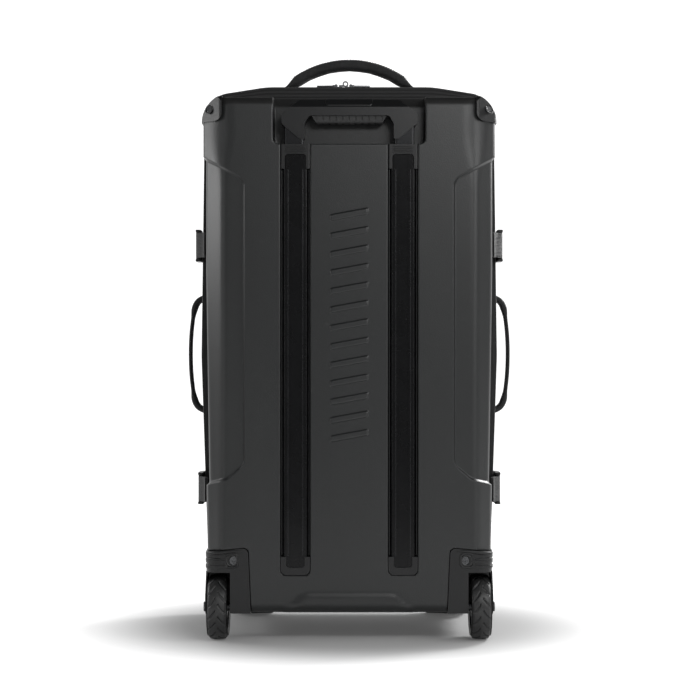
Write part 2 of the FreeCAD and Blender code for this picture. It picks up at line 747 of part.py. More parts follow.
def seam_binding():
    """The fabric band that closes the step between the shell's rim and the zipper."""
    ring = prism(soft_front(), "xz", SHELL_DEPTH + 0.05, TAPE_REAR[0])
    return ring.cut(prism(shell_front(WALL), "xz", 0.0, 200.0))


def zipper_tape(ends):
    """A U of zipper tape along the sides and the top."""
    return soft_ring(1.0, 2.4, *ends).common(above(ZIP_END))


def zipper_coil(d0, d1):
    return soft_ring(-0.9, 1.0, d0, d1).common(above(ZIP_END))


def hinge_strip():
    """The plain fabric strip along the bottom that the front half folds on."""
    return soft_ring(0.3, 2.4, TAPE_REAR[0], ZIP_DEPTH - 0.4).common(below(ZIP_END - 0.2))


def front_walls():
    """The front half's four padded walls, cut from one band."""
    band = soft_ring(0.0, PANEL, TAPE_FRONT[1], FRONT_PANEL_DEPTH)
    low = soft_ring(0.3, PANEL, ZIP_DEPTH + 0.8, TAPE_FRONT[1]).common(below(ZIP_END - 0.2))
    top = band.common(above(735.0))
    bottom = joined([band.common(below(80.0)), low])
    for x in (-150.0, 150.0):
        for d in FOOT_SCREW_DEPTHS:
            bottom = bottom.cut(rod(1.55, (x, d, 30.0), (x, d, SOFT_BOTTOM + 3.1)))
    sides = band.common(above(80.0)).common(below(735.0))
    left = sides.common(block(-FAR, 0.0, 0.0, 400.0, 0.0, 900.0))
    right = sides.common(block(0.0, FAR, 0.0, 400.0, 0.0, 900.0))
    return {"top_panel": top, "bottom_panel": bottom, "side_panel_left": left, "side_panel_right": right}


def rim_frame():
    """The flat spring-steel hoop sewn round the front half's mouth."""
    return soft_ring(PANEL + 0.1, PANEL + 2.1, TAPE_FRONT[1], TAPE_FRONT[1] + 14.0)


def front_panel():
    return prism(soft_front(2.0), "xz", FRONT_PANEL_DEPTH + 0.05, FRONT_PANEL_DEPTH + 8.0)


POCKETS = {"upper": (150.0, 604.0, 738.0, 318.0), "lower": (165.0, 246.0, 520.0, FRONT_DEPTH - 3.8)}
FRONT_FACE = FRONT_PANEL_DEPTH + 8.0


def front_pocket(name):
    """A flat-packed patch pocket on the front panel."""
    half, z0, z1, front = POCKETS[name]
    points = [(-half, z0, 22.0), (half, z0, 22.0), (half, z1, 22.0), (-half, z1, 22.0)]
    return prism(points, "xz", FRONT_FACE + 0.05, front)


def pocket_zipper(name):
    half, _, z1, front = POCKETS[name]
    return block(-half + 26.0, half - 26.0, front + 0.05, front + 1.6, z1 - 26.0, z1 - 14.0)


def pocket_slider(name):
    half, _, z1, front = POCKETS[name]
    x = -half + 40.0
    body = block(x - 5.0, x + 5.0, front + 1.8, front + 3.4, z1 - 25.0, z1 - 15.0)
    pull = block(x - 2.5, x + 2.5, front + 2.0, front + 3.8, z1 - 50.0, z1 - 25.0)
    return joined([body, pull])


FOOT_SCREW_DEPTHS = (248.0, 282.0)


def foot(sign):
    """A stand-off foot under the front half, with two screw holes."""
    x = sign * 150.0
    top = SOFT_BOTTOM - 0.05
    points = [(x - 34.0, 0.0, 6.0), (x + 34.0, 0.0, 6.0), (x + 40.0, top), (x - 40.0, top)]
    body = prism(points, "xz", 244.0, 286.0).cut(block(x - 26.0, x + 26.0, 252.0, 278.0, 6.0, 60.0))
    for d in FOOT_SCREW_DEPTHS:
        body = body.cut(rod(1.55, (x, d, -1.0), (x, d, 60.0))).cut(rod(3.2, (x, d, -1.0), (x, d, 20.0)))
    return body


def foot_screws():
    """Two screws up through each foot into the bottom panel."""
    screws = []
    for sign in SIDES.values():
        for d in FOOT_SCREW_DEPTHS:
            x = sign * 150.0
            head = rod(2.9, (x, d, 18.0), (x, d, 19.95))
            screws.append(joined([head, rod(1.45, (x, d, 19.0), (x, d, SOFT_BOTTOM + 3.0))]))
    return screws


# ---------------------------------------------------------------- straps and buckles
BUCKLE_INNER = {"upper": 214.7, "lower": 211.2}
BUCKLE_THICK = 7.4
BUCKLE_HALF = 23.0
SOCKET = (80.0, 112.0)
STRAP_BASE_START = 134.0


def strap_inner(level):
    z = STRAP_LEVELS[level]
    widest = max(soft_half_at(z - STRAP_WIDTH / 2), soft_half_at(z + STRAP_WIDTH / 2))
    return widest + 0.3


def compression_strap(level):
    """Webbing round the front half, from one side buckle across the front to the other."""
    z, inner = STRAP_LEVELS[level], strap_inner(level)
    thick = 1.6
    outer = [
        (-inner - thick, STRAP_BASE_START),
        (inner + thick, STRAP_BASE_START),
        (inner + thick, FRONT_FACE + 0.3 + thick, 3.0),
        (-inner - thick, FRONT_FACE + 0.3 + thick, 3.0),
    ]
    hollow = [
        (-inner, STRAP_BASE_START - 1.0),
        (inner, STRAP_BASE_START - 1.0),
        (inner, FRONT_FACE + 0.3, 1.4),
        (-inner, FRONT_FACE + 0.3, 1.4),
    ]
    z0, z1 = z - STRAP_WIDTH / 2, z + STRAP_WIDTH / 2
    return prism(outer, "xy", z0, z1).cut(prism(hollow, "xy", z0 - 1, z1 + 1))


def buckle_socket(sign, level):
    """The female half, a hollow box open towards the front, with a web bar at its rear."""
    z, x0 = STRAP_LEVELS[level], BUCKLE_INNER[level]
    x1 = x0 + BUCKLE_THICK
    body = block(sign * x0, sign * x1, *SOCKET, z - BUCKLE_HALF, z + BUCKLE_HALF)
    body = body.cut(block(sign * (x0 + 1.2), sign * (x1 - 1.2), 92.0, 113.0, z - 19.0, z + 19.0))
    for low, high in ((x0 - 1.0, x0 + 2.0), (x1 - 2.0, x1 + 1.0)):
        body = body.cut(block(sign * low, sign * high, 79.0, 87.0, z - 19.5, z + 19.5))
    return body.cut(block(sign * (x0 - 1), sign * (x1 + 1), 83.0, 87.0, z - 19.5, z + 19.5))


def socket_tab(sign, level):
    """The webbing that ties a socket to the shell's side: sewn round the socket's bar, and riveted down."""
    z, x0 = STRAP_LEVELS[level], BUCKLE_INNER[level]
    shell_half = max(shell_half_at(z - 18.0), shell_half_at(z + 18.0)) + 0.1
    low, high = x0 + 0.6, x0 + BUCKLE_THICK - 0.6
    loop = block(sign * low, sign * high, 78.4, 84.4, z - 18.0, z + 18.0)
    eye = (sign * (x0 + 1.95), sign * (x0 + BUCKLE_THICK - 1.95))
    loop = loop.cut(block(*eye, 79.95, 83.05, z - 19.0, z + 19.0))
    points = [
        (shell_half, 64.0),
        (low, 78.5),
        (high, 78.5),
        (shell_half + 3.0, 62.0),
        (shell_half + 3.0, 50.0),
        (shell_half, 50.0),
    ]
    return joined([loop, prism(on_side(points, sign), "xy", z - 18.0, z + 18.0)])


def buckle_plug(sign, level):
    """The male half: two prongs and a guide on a block with a ladder bar."""
    z, x0 = STRAP_LEVELS[level], BUCKLE_INNER[level]
    x1 = x0 + BUCKLE_THICK
    body = block(sign * x0, sign * x1, 112.6, 136.0, z - BUCKLE_HALF + 1, z + BUCKLE_HALF - 1)
    prongs = []
    for offset in (-12.0, 0.0, 12.0):
        low = z + offset - 2.5
        prongs.append(block(sign * (x0 + 2.0), sign * (x1 - 2.0), 95.0, 113.0, low, low + 5.0))
    body = joined([body, *prongs])
    for d in (118.0, 127.0):
        body = body.cut(block(sign * (x0 - 1), sign * (x1 + 1), d, d + 5.0, z - 18.5, z + 18.5))
    return body


def strap_tail(sign, level):
    """The adjustable end of the webbing, lying along the outside of the strap."""
    z, x0 = STRAP_LEVELS[level], BUCKLE_INNER[level]
    x_low = x0 + 2.6
    half = STRAP_WIDTH / 2 - 1
    return block(sign * x_low, sign * (x_low + 1.6), 136.2, 196.0, z - half, z + half)


# ---------------------------------------------------------------- carry handles
SIDE_HANDLE_DEPTH = 170.0


def side_handle(sign):
    """The hand loop: a bowed strap that stands clear of the side."""
    x0 = SOFT_HALF
    z = HANDLE_LEVEL
    outer = [
        (x0 + 16.5, z - 56.0),
        (x0 + 20.5, z - 56.0),
        (x0 + 26.0, z, 260.0),
        (x0 + 20.5, z + 56.0),
        (x0 + 16.5, z + 56.0),
        (x0 + 20.0, z, 250.0),
    ]
    return prism(on_side(outer, sign), "xz", SIDE_HANDLE_DEPTH - 13.0, SIDE_HANDLE_DEPTH + 13.0)


def side_handle_tabs(sign):
    """The two sewn ends of a side handle, folded out from the side wall."""
    tabs = []
    x0 = SOFT_HALF + 0.3
    for way in (-1.0, 1.0):
        z_in, z_out = HANDLE_LEVEL + way * 56.4, HANDLE_LEVEL + way * 84.0
        points = [
            (x0, z_out),
            (x0 + 3.0, z_out),
            (x0 + 20.0, z_in),
            (x0 + 15.5, z_in),
            (x0, HANDLE_LEVEL + way * 70.0),
        ]
        points = points if way < 0 else list(reversed(points))
        tabs.append(prism(on_side(points, sign), "xz", SIDE_HANDLE_DEPTH - 15.0, SIDE_HANDLE_DEPTH + 15.0))
    return tabs


TOP_HANDLE_CENTRE = 694.0
TOP_HANDLE_RADIUS = 138.0
TOP_HANDLE_SWEEP = 37.0


def top_handle():
    """The padded carry handle: an arch of rounded section."""
    a, b = 8.0, 15.0
    r = TOP_HANDLE_RADIUS + TOP_HANDLE_CENTRE
    d = TOP_HANDLE_DEPTH
    section = [(d - b, r - a, 6.0), (d + b, r - a, 6.0), (d + b, r + a, 6.0), (d - b, r + a, 6.0)]
    face = Part.Face(outline(section, "yz", 0.0))
    centre = Vector(0, depth(d), TOP_HANDLE_CENTRE)
    face.rotate(centre, Vector(0, 1, 0), -TOP_HANDLE_SWEEP)
    return face.revolve(centre, Vector(0, 1, 0), 2 * TOP_HANDLE_SWEEP)


def top_handle_tabs():
    """The two sewn webbing ends under the padded arch."""
    tabs = []
    for sign in SIDES.values():
        points = [
            (80.0, 789.0),
            (112.0, 789.0),
            (112.0, 792.9),
            (90.0, 798.0),
            (84.6, 797.8),
            (80.0, 793.0),
        ]
        tabs.append(prism(on_side(points, sign), "xz", TOP_HANDLE_DEPTH - 13.0, TOP_HANDLE_DEPTH + 13.0))
    return [tab.cut(prism(soft_front(), "xz", 0.0, 400.0)) for tab in tabs]


# ---------------------------------------------------------------- zipper sliders
SLIDER_X = {-1.0: -17.0, 1.0: 0.0}
LOCK_EYE_X = -5.5  # both sliders' padlock eyes meet here
PIVOT_OFFSET = 2.2
PIVOT_LEVEL = SOFT_TOP + 5.0


def zipper_slider(sign):
    """A two-plate slider straddling the zipper, with a lug for its pull and half of the padlock eye."""
    x, z, d = SLIDER_X[sign], SOFT_TOP, ZIP_DEPTH
    top = block(x - 6.5, x + 6.5, d - 5.0, d + 5.0, z + 1.4, z + 3.0)
    bottom = block(x - 6.5, x + 6.5, d - 5.0, d + 5.0, z - 4.4, z - 2.8)
    post = block(x - 5.0, x + 5.0, d - 0.5, d + 0.5, z - 3.0, z + 1.6)
    near, far = min(sign * 0.2, sign * 1.3), max(sign * 0.2, sign * 1.3)
    eye = rod(4.2, (LOCK_EYE_X, d + near, z + 7.5), (LOCK_EYE_X, d + far, z + 7.5))
    arm = block(LOCK_EYE_X, x - sign * 2.0, d + near, d + far, z + 3.3, z + 6.0)
    stem = block(x - sign * 6.0, x - sign * 2.0, d + near, d + far, z + 2.8, z + 6.0)
    pivot = x + sign * PIVOT_OFFSET
    lug = rod(2.3, (pivot, d - 1.0, PIVOT_LEVEL), (pivot, d + 1.0, PIVOT_LEVEL))
    lug_foot = block(pivot - 2.0, pivot + 2.0, d - 1.0, d + 1.0, z + 2.8, z + 5.0)
    body = joined([top, bottom, post, eye, arm, stem, lug, lug_foot])
    body = body.cut(rod(2.4, (LOCK_EYE_X, d - 4.0, z + 7.5), (LOCK_EYE_X, d + 4.0, z + 7.5)))
    return body.cut(rod(1.35, (pivot, d - 4.0, PIVOT_LEVEL), (pivot, d + 4.0, PIVOT_LEVEL)))


def zipper_pull(sign):
    """The tapered pull tab, with a fork and a pin through the slider's lug."""
    x, z, d = SLIDER_X[sign] + sign * PIVOT_OFFSET, PIVOT_LEVEL, ZIP_DEPTH
    plate = [(3.6, -4.0), (28.0, -2.4), (28.0, 2.4), (3.6, 4.0)]
    plate = [(p[0] + x, p[1] + d) for p in on_side(plate, sign)]
    body = [prism(plate, "xy", z - 1.8, z)]
    for way in (-1.0, 1.0):
        near, far = d + way * 1.3, d + way * 3.6
        low, high = min(near, far), max(near, far)
        body.append(block(x, x + sign * 5.0, low, high, z - 1.8, z + 0.8))
        body.append(rod(1.9, (x, low, z), (x, high, z)))
    body.append(rod(1.1, (x, d - 3.0, z), (x, d + 3.0, z)))
    return joined(body)


# ---------------------------------------------------------------- inside
def back_lining():
    """The laminated board that covers the channels inside the shell."""
    board = [(-193.0, 139.0, 6.0), (193.0, 139.0, 6.0), (193.0, 755.0, 30.0), (-193.0, 755.0, 30.0)]
    return prism(board, "xz", RECESS_DEPTH + WALL + 0.1, RECESS_DEPTH + WALL + 3.0)


def packing_straps():
    """Two webbing straps across the lining, each with a flat buckle."""
    pieces = []
    d = RECESS_DEPTH + WALL + 3.1
    for z in (290.0, 540.0):
        web = block(-188.0, 188.0, d, d + 1.4, z - 12.5, z + 12.5)
        buckle = block(-22.0, 22.0, d + 1.45, d + 7.0, z - 16.0, z + 16.0)
        pieces += [web, buckle]
    return pieces


# ---------------------------------------------------------------- write every node
def pair(make):
    """The left and right versions of a piece."""
    return [make(sign) for sign in SIDES.values()]


def main():
    os.makedirs("parts", exist_ok=True)
    save("rear_shell", rear_shell())
    save("corner_guards", *pair(corner_guard))
    save("shell_rivets", *shell_rivets())
    save("housing_bolts", *housing_bolts())
    save("axles", *pair(axle))
    save("axle_spacers", *[ring for sign in SIDES.values() for ring in axle_spacers(sign)])
    save("outer_tubes", *pair(outer_tube))
    save("inner_tubes", *pair(inner_tube))
    save("head_brackets", *pair(head_bracket))
    save("foot_brackets", *pair(foot_bracket))
    save("lock_plugs", *pair(lock_plug))
    save("lock_bolts", *pair(lock_bolt))
    save("front_feet", *pair(foot))
    for side, sign in SIDES.items():
        save(f"wheel_housing_{side}", wheel_housing(sign))
        save(f"tyre_{side}", tyre(sign))
        save(f"wheel_hub_{side}", hub(sign))
        save(f"wheel_bearings_{side}", *bearings(sign))
        save(f"side_handle_{side}", side_handle(sign))
        save(f"zipper_slider_{side}", zipper_slider(sign))
        save(f"zipper_pull_{side}", zipper_pull(sign))
        for level in STRAP_LEVELS:
            save(f"buckle_plug_{level}_{side}", buckle_plug(sign, level), strap_tail(sign, level))
    save("grip_body", grip_body())
    save("grip_underside", grip_underside())
    save("release_button", release_button())
    save("release_yoke", release_yoke())
    save("yoke_springs", *yoke_springs())
    save("seam_binding", seam_binding())
    coil_rear = zipper_coil(ZIP_DEPTH - 2.6, TAPE_REAR[1])
    coil_front = zipper_coil(TAPE_FRONT[0], ZIP_DEPTH + 2.6)
    save("main_zipper_rear", joined([zipper_tape(TAPE_REAR), coil_rear]))
    save("main_zipper_front", joined([zipper_tape(TAPE_FRONT), coil_front]))
    save("hinge_strip", hinge_strip())
    for name, wall in front_walls().items():
        save(name, wall)
    save("rim_frame", rim_frame())
    save("front_panel", front_panel())
    for name in POCKETS:
        save(f"{name}_pocket", front_pocket(name))
        save(f"{name}_pocket_slider", pocket_slider(name))
    save("pocket_zippers", *[pocket_zipper(name) for name in POCKETS])
    save("foot_screws", *foot_screws())
    save("compression_straps", *[compression_strap(level) for level in STRAP_LEVELS])
    everywhere = [(sign, level) for sign in SIDES.values() for level in STRAP_LEVELS]
    save("buckle_sockets", *[buckle_socket(*place) for place in everywhere])
    save("socket_tabs", *[socket_tab(*place) for place in everywhere])
    side_tabs = [tab for sign in SIDES.values() for tab in side_handle_tabs(sign)]
    save("handle_tabs", *side_tabs, *top_handle_tabs())
    save("top_handle", top_handle())
    save("back_lining", back_lining())
    save("packing_straps", *packing_straps())


main()
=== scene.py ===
"""Finishes and soft goods for a wheeled equipment case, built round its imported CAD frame.

Every length inside the pieces is in millimetres: x across the case, d behind the hard shell's rear
face and z up from the floor. placed() turns them into the frame's metres.
"""

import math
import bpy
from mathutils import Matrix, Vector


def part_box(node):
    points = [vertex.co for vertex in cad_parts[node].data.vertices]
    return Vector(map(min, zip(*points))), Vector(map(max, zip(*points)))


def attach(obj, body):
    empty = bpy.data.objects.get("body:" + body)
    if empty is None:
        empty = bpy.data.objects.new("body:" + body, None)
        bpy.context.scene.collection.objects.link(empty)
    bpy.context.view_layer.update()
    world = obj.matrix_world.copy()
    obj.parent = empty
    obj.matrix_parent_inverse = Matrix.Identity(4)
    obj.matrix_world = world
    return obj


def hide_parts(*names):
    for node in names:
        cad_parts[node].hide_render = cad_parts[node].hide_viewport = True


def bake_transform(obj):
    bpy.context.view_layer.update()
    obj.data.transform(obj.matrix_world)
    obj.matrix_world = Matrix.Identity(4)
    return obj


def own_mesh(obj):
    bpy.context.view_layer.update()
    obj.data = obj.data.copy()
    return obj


bl_info = {
    "name": "Wheeled Equipment Case",
    "version": (1, 0, 0),
    "blender": (4, 5, 0),
    "location": "View3D > Sidebar > Case",
    "description": "Moulded shell, fabric front, wheels, handles and hardware of a wheeled equipment case",
    "category": "Object",
}

import bmesh
import bpy
import numpy as np

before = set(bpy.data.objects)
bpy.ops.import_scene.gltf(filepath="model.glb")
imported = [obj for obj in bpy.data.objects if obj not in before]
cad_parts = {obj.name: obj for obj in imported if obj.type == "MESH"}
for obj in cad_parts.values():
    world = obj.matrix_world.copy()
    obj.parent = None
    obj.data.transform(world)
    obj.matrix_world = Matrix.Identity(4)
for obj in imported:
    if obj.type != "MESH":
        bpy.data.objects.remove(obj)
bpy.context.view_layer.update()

MM = 0.001
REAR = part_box("rear_shell")[0].y
SIDES = {"left": -1.0, "right": 1.0}

# outlines shared by several pieces, as (x, z, corner radius), anticlockwise seen from behind
SOFT_OUTLINE = [
    (-202.0, 41.0, 24.0),
    (202.0, 41.0, 24.0),
    (214.0, 400.0, 300.0),
    (209.0, 777.0, 38.0),
    (120.0, 791.0, 120.0),
    (-120.0, 791.0, 120.0),
    (-209.0, 777.0, 38.0),
    (-214.0, 400.0, 300.0),
]
SHELL_HALF, SHELL_HALF_LOW, SHELL_WAIST = 207.0, 199.0, 520.0
SHELL_TOP, SHELL_BOTTOM, SHELL_DEPTH, WALL = 766.0, 41.0, 88.0, 3.0
ZIP_DEPTH, ZIP_END = 108.0, 70.0
WALL_END, FRONT_FACE = 296.0, 304.0
POCKETS = {"upper": (150.0, 604.0, 738.0, 318.0), "lower": (165.0, 246.0, 520.0, 326.2)}
POCKET_CORNER, POCKET_ZIP = 22.0, 20.0
STRAP_LEVELS = {"upper": (561.0, 212.4), "lower": (210.0, 208.6)}
BUCKLE_INNER = {"upper": 214.7, "lower": 211.2}
STRAP_WIDTH = 38.0
HANDLE_LEVEL, HANDLE_DEPTH = 404.0, 170.0


# ---------------------------------------------------------------- sizes and colours
def length(name, text, value, low=0.0, high=100.0):
    """A size in millimetres that can be changed in the panel."""
    return bpy.props.FloatProperty(name=name, description=text, default=value, min=low, max=high)


def paint(name, text, value):
    """A base colour that can be changed in the panel."""
    return bpy.props.FloatVectorProperty(
        name=name, description=text, default=value, size=3, min=0.0, max=1.0, subtype="COLOR"
    )


def power(name, text, value):
    """The power of a light, which can be changed in the panel."""
    return bpy.props.FloatProperty(name=name, description=text, default=value, min=0.0)


class CASE_PG_sizes(bpy.types.PropertyGroup):
    """Sizes of the soft goods and the moulded details, in millimetres."""

    lip: length("Shell lip", "Radius of the moulded lips round the shell's channels", 2.0, 0.5, 4.0)
    step: length("Side field depth", "How far the side fields lie below the middle", 4.0, 1.0, 6.0)
    relief: length("Relief height", "How far the raised bars stand out of the back", 2.4, 0.5, 3.5)
    wall_bulge: length("Wall bulge", "How far the padded side walls swell between seams", 3.2, 0.0, 8.0)
    front_crown: length("Front crown", "How far the front panel swells between the straps", 3.5, 0.0, 8.0)
    pocket_crown: length("Pocket crown", "How far a pocket swells past its seams", 3.0, 0.0, 6.0)
    piping: length("Piping radius", "Radius of the piping along the front half's edges", 2.1, 1.0, 4.0)
    tooth_pitch: length("Coil pitch", "Distance between two turns of the zipper's coil", 2.9, 1.5, 5.0)
    stitch_pitch: length("Stitch pitch", "Distance between two stitches", 4.2, 2.0, 8.0)
    sipe: length("Tread depth", "Depth of the grooves in the tyres", 1.7, 0.0, 2.5)


class CASE_PG_colours(bpy.types.PropertyGroup):
    """Base colours of the finishes."""

    shell: paint("Shell", "Grained plastic of the hard shell", (0.012, 0.0128, 0.0131))
    trim: paint("Trim", "Darker plastic of the guards, housings and brackets", (0.006, 0.0062, 0.0066))
    rubber: paint("Rubber", "Tyres and finger insert", (0.013, 0.0132, 0.0135))
    fabric: paint("Fabric", "Coarse woven cloth of the soft half", (0.0125, 0.0128, 0.0134))
    webbing: paint("Webbing", "Straps and binding", (0.005, 0.0051, 0.0055))
    anodised: paint("Anodised tube", "Black anodised aluminium", (0.004, 0.0041, 0.0045))
    steel: paint("Dark steel", "Blackened fixings and sliders", (0.10, 0.102, 0.106))
    bright: paint("Bright steel", "Bearings and axles", (0.52, 0.52, 0.53))
    lining: paint("Lining", "Grey cloth inside the case", (0.085, 0.088, 0.094))
    thread: paint("Thread", "Stitching thread", (0.055, 0.055, 0.057))


class CASE_PG_stage(bpy.types.PropertyGroup):
    """The floor, the lights and the camera."""

    key: power("Key", "Power of the left softbox", 6.5)
    fill: power("Fill", "Power of the right softbox", 8.0)
    top: power("Top", "Power of the softbox over the soft half", 60.0)
    front: power("Front", "Power of the softbox over the hard shell", 10.0)
    strips: power("Strips", "Power of each narrow upright light beside the camera", 1.6)
    distance: bpy.props.FloatProperty(
        name="Camera distance", description="From the shell's rear face", default=2.5, unit="LENGTH"
    )
    lens: bpy.props.FloatProperty(name="Lens", description="Focal length", default=91.8, subtype="NONE")


def sizes():
    """The sizes now set in the panel."""
    return bpy.context.scene.case_sizes


def colours():
    """The colours now set in the panel."""
    return bpy.context.scene.case_colours


# ---------------------------------------------------------------- shader maths
class Value:
    """A shader socket. Arithmetic on it adds Math nodes."""

    def __init__(self, shader, socket):
        self.shader, self.socket = shader, socket

    def __add__(self, other):
        return self.shader.math("ADD", self, other)

    def __sub__(self, other):
        return self.shader.math("SUBTRACT", self, other)

    def __rsub__(self, other):
        return self.shader.math("SUBTRACT", other, self)

    def __mul__(self, other):
        return self.shader.math("MULTIPLY", self, other)

    def __truediv__(self, other):
        return self.shader.math("DIVIDE", self, other)

    def __pow__(self, other):
        return self.shader.math("POWER", self, other)

    __radd__, __rmul__ = __add__, __mul__


class Shader:
    """One procedural material and the nodes in it."""

    def __init__(self, name):
        self.material = bpy.data.materials.new(name)
        self.material.use_nodes = True
        self.tree = self.material.node_tree
        self.surface = self.tree.nodes["Principled BSDF"]
        self.coordinates = self.tree.nodes.new("ShaderNodeTexCoord")

    def node(self, kind, settings, inputs):
        """Adds a node: its settings first, then the values or links of its sockets. Returns its first output."""
        made = self.tree.nodes.new(kind)
        for key, value in settings.items():
            setattr(made, key, value)
        for key, value in inputs.items():
            self.feed(made.inputs[key], value)
        return Value(self, made.outputs[0])

    def feed(self, socket, value):
        """Links a socket to a value, or sets it to a number or a colour."""
        if isinstance(value, Value):
            self.tree.links.new(value.socket, socket)
        elif hasattr(value, "__len__") and len(value) == 3 and socket.type == "RGBA":
            socket.default_value = (*value, 1.0)
        else:
            socket.default_value = value

    def math(self, operation, a, b=0.0):
        """One step of arithmetic on two values."""
        return self.node("ShaderNodeMath", {"operation": operation}, {0: a, 1: b})

    def waves(self, value):
        """A row of rounded ridges from 0 to 1: the size of a sine."""
        return self.math("ABSOLUTE", self.math("SINE", value))

    def place(self, scale=(1.0, 1.0, 1.0)):
        """Object coordinates, scaled."""
        where = Value(self, self.coordinates.outputs["Object"])
        return self.node("ShaderNodeMapping", {}, {"Vector": where, "Scale": scale})

    def cloth(self):
        """The piece's own weave map, in metres along and across the cloth."""
        return self.node("ShaderNodeUVMap", {"uv_map": "Weave"}, {})

    def parts(self, vector):
        """X, Y and Z of a vector."""
        made = self.tree.nodes.new("ShaderNodeSeparateXYZ")
        self.feed(made.inputs[0], vector)
        return [Value(self, out) for out in made.outputs]

    def noise(self, size, detail, where=None):
        """Noise from 0 to 1 whose features are about size millimetres wide."""
        inputs = {"Vector": where or self.place(), "Scale": 1.0 / (size * MM), "Detail": detail}
        return self.node("ShaderNodeTexNoise", {}, inputs)

    def cells(self, size):
        """Distance to the nearest of many scattered points about size millimetres apart."""
        return self.node("ShaderNodeTexVoronoi", {}, {"Vector": self.place(), "Scale": 1.0 / (size * MM)})

    def ramp(self, value, low, high):
        """0 below low, 1 above high and smooth between them."""
        settings = {"interpolation_type": "SMOOTHSTEP"}
        return self.node("ShaderNodeMapRange", settings, {"Value": value, "From Min": low, "From Max": high})

    def mixed(self, factor, a, b):
        """A colour between a and b. The node's colour sockets are its inputs 6 and 7 and its output 2."""
        made = self.node("ShaderNodeMix", {"data_type": "RGBA"}, {"Factor": factor, 6: a, 7: b})
        return Value(self, made.socket.node.outputs[2])

    def bump(self, height, distance):
        """A bump of height, which runs from 0 to 1, distance millimetres deep."""
        return self.node("ShaderNodeBump", {}, {"Height": height, "Distance": distance * MM, "Strength": 1.0})

    def finish(self, colour, roughness, normal=None, **constants):
        """Feeds the surface. Constants go straight onto its own sockets."""
        self.feed(self.surface.inputs["Base Color"], colour)
        self.feed(self.surface.inputs["Roughness"], roughness)
        if normal:
            self.feed(self.surface.inputs["Normal"], normal)
        for key, value in constants.items():
            self.feed(self.surface.inputs[key.replace("_", " ")], value)
        return self.material


def shade(colour, factor):
    """A colour made lighter or darker."""
    return tuple(min(1.0, c * factor) for c in colour)


def moulded(name, colour, roughness, grain, depth, index=1.4, top=None):
    """Injection-moulded plastic: an etched grain of small cells, faint flow marks and uneven gloss. Above the
    height top, where one is given, the colour is painted nearly black as shade and the gloss is dull."""
    s = Shader(name)
    pebble = s.cells(grain)
    fine = s.noise(grain * 0.4, 3.0)
    flow = s.noise(160.0, 3.0, s.place((1.0, 1.0, 0.35)))
    scuffs = s.ramp(s.noise(9.0, 6.0, s.place((1.0, 1.0, 2.6))), 0.60, 0.74)
    tone = s.mixed(s.ramp(flow, 0.3, 0.7), shade(colour, 0.90), shade(colour, 1.12))
    tone = s.mixed(pebble * 0.35, tone, shade(colour, 1.35))
    tone = s.mixed(scuffs * 0.16, tone, shade(colour, 2.2))
    height = pebble * 0.75 + fine * 0.25
    gloss = roughness + (flow - 0.5) * 0.10 + (fine - 0.5) * 0.08 + scuffs * 0.05
    if top:
        # painted shade: above the height top the shell's rolled top edge is darkened to nearly black and made dull
        edge = s.ramp(s.parts(s.place())[2], top * MM, (top + 5.0) * MM)
        tone = s.mixed(edge * 0.9, tone, (0.0, 0.0, 0.0))
        gloss = gloss + edge * 0.42
    return s.finish(tone, gloss, s.bump(height, depth), IOR=index)


def rubbery(name, colour, roughness):
    """Rubber: a dry fine grain, with a little dust held in broad patches."""
    s = Shader(name)
    grain = s.noise(0.7, 4.0)
    dust = s.ramp(s.noise(22.0, 5.0), 0.48, 0.75)
    tone = s.mixed(dust * 0.35, colour, shade(colour, 2.3))
    return s.finish(tone, roughness + dust * 0.12 + (grain - 0.5) * 0.1, s.bump(grain, 0.12), IOR=1.48)


def metal(name, colour, roughness, brushed=0.0, metallic=1.0, gloss_index=1.45):
    """Metal with drawn streaks along Z, fine pits and uneven gloss. brushed sets how deep the streaks are."""
    s = Shader(name)
    streaks = s.noise(0.5, 3.0, s.place((1.0, 1.0, 0.012)))
    pits = s.noise(1.1, 4.0)
    stain = s.noise(30.0, 4.0)
    tone = s.mixed(s.ramp(stain, 0.35, 0.7), shade(colour, 0.85), shade(colour, 1.15))
    tone = s.mixed(streaks * brushed, tone, shade(colour, 1.6))
    gloss = roughness + (streaks - 0.5) * (0.10 + brushed * 0.3) + (pits - 0.5) * 0.08
    height = streaks * brushed + pits * 0.3
    return s.finish(tone, gloss, s.bump(height, 0.05), Metallic=metallic, IOR=gloss_index)


def woven(name, colour, pitch, depth, rows=1.0, coated=0.0):
    """Plain-weave cloth with thread ends every pitch millimetres, rows times as close the other way. Two sets of
    threads are half waves across each other, and a chequer says which is on top."""
    s = Shader(name)
    u, v, _ = s.parts(s.cloth())
    turns = math.pi / (pitch * MM)
    across, along = s.waves(u * turns), s.waves(v * (turns * rows))
    chequer = s.math("SINE", u * turns) * s.math("SINE", v * (turns * rows))
    over = s.ramp(chequer, -0.12, 0.12)
    thread = across * over + along * (1.0 - over)
    fuzz = s.noise(0.6, 3.0)
    broad = s.noise(70.0, 4.0)
    slub = s.noise(3.0, 5.0, s.place((1.0, 1.0, 0.25))) * 0.5
    slub = slub + s.noise(3.0, 5.0, s.place((0.25, 1.0, 1.0))) * 0.5
    # painted shade and highlight: the colour is darker in the gaps between threads and lighter on their crests
    tone = s.mixed(thread, shade(colour, 0.45), shade(colour, 1.6))
    tone = s.mixed(s.ramp(slub, 0.42, 0.62), shade(colour, 0.6), tone)
    tone = s.mixed(s.ramp(broad, 0.35, 0.7) * 0.35, tone, shade(colour, 1.9))
    height = thread * 0.8 + fuzz * 0.2
    gloss = 0.74 - coated * 0.28 - thread * 0.08 + (broad - 0.5) * 0.12
    return s.finish(tone, gloss, s.bump(height, depth), Sheen_Weight=0.06, Sheen_Roughness=0.5, IOR=1.42)


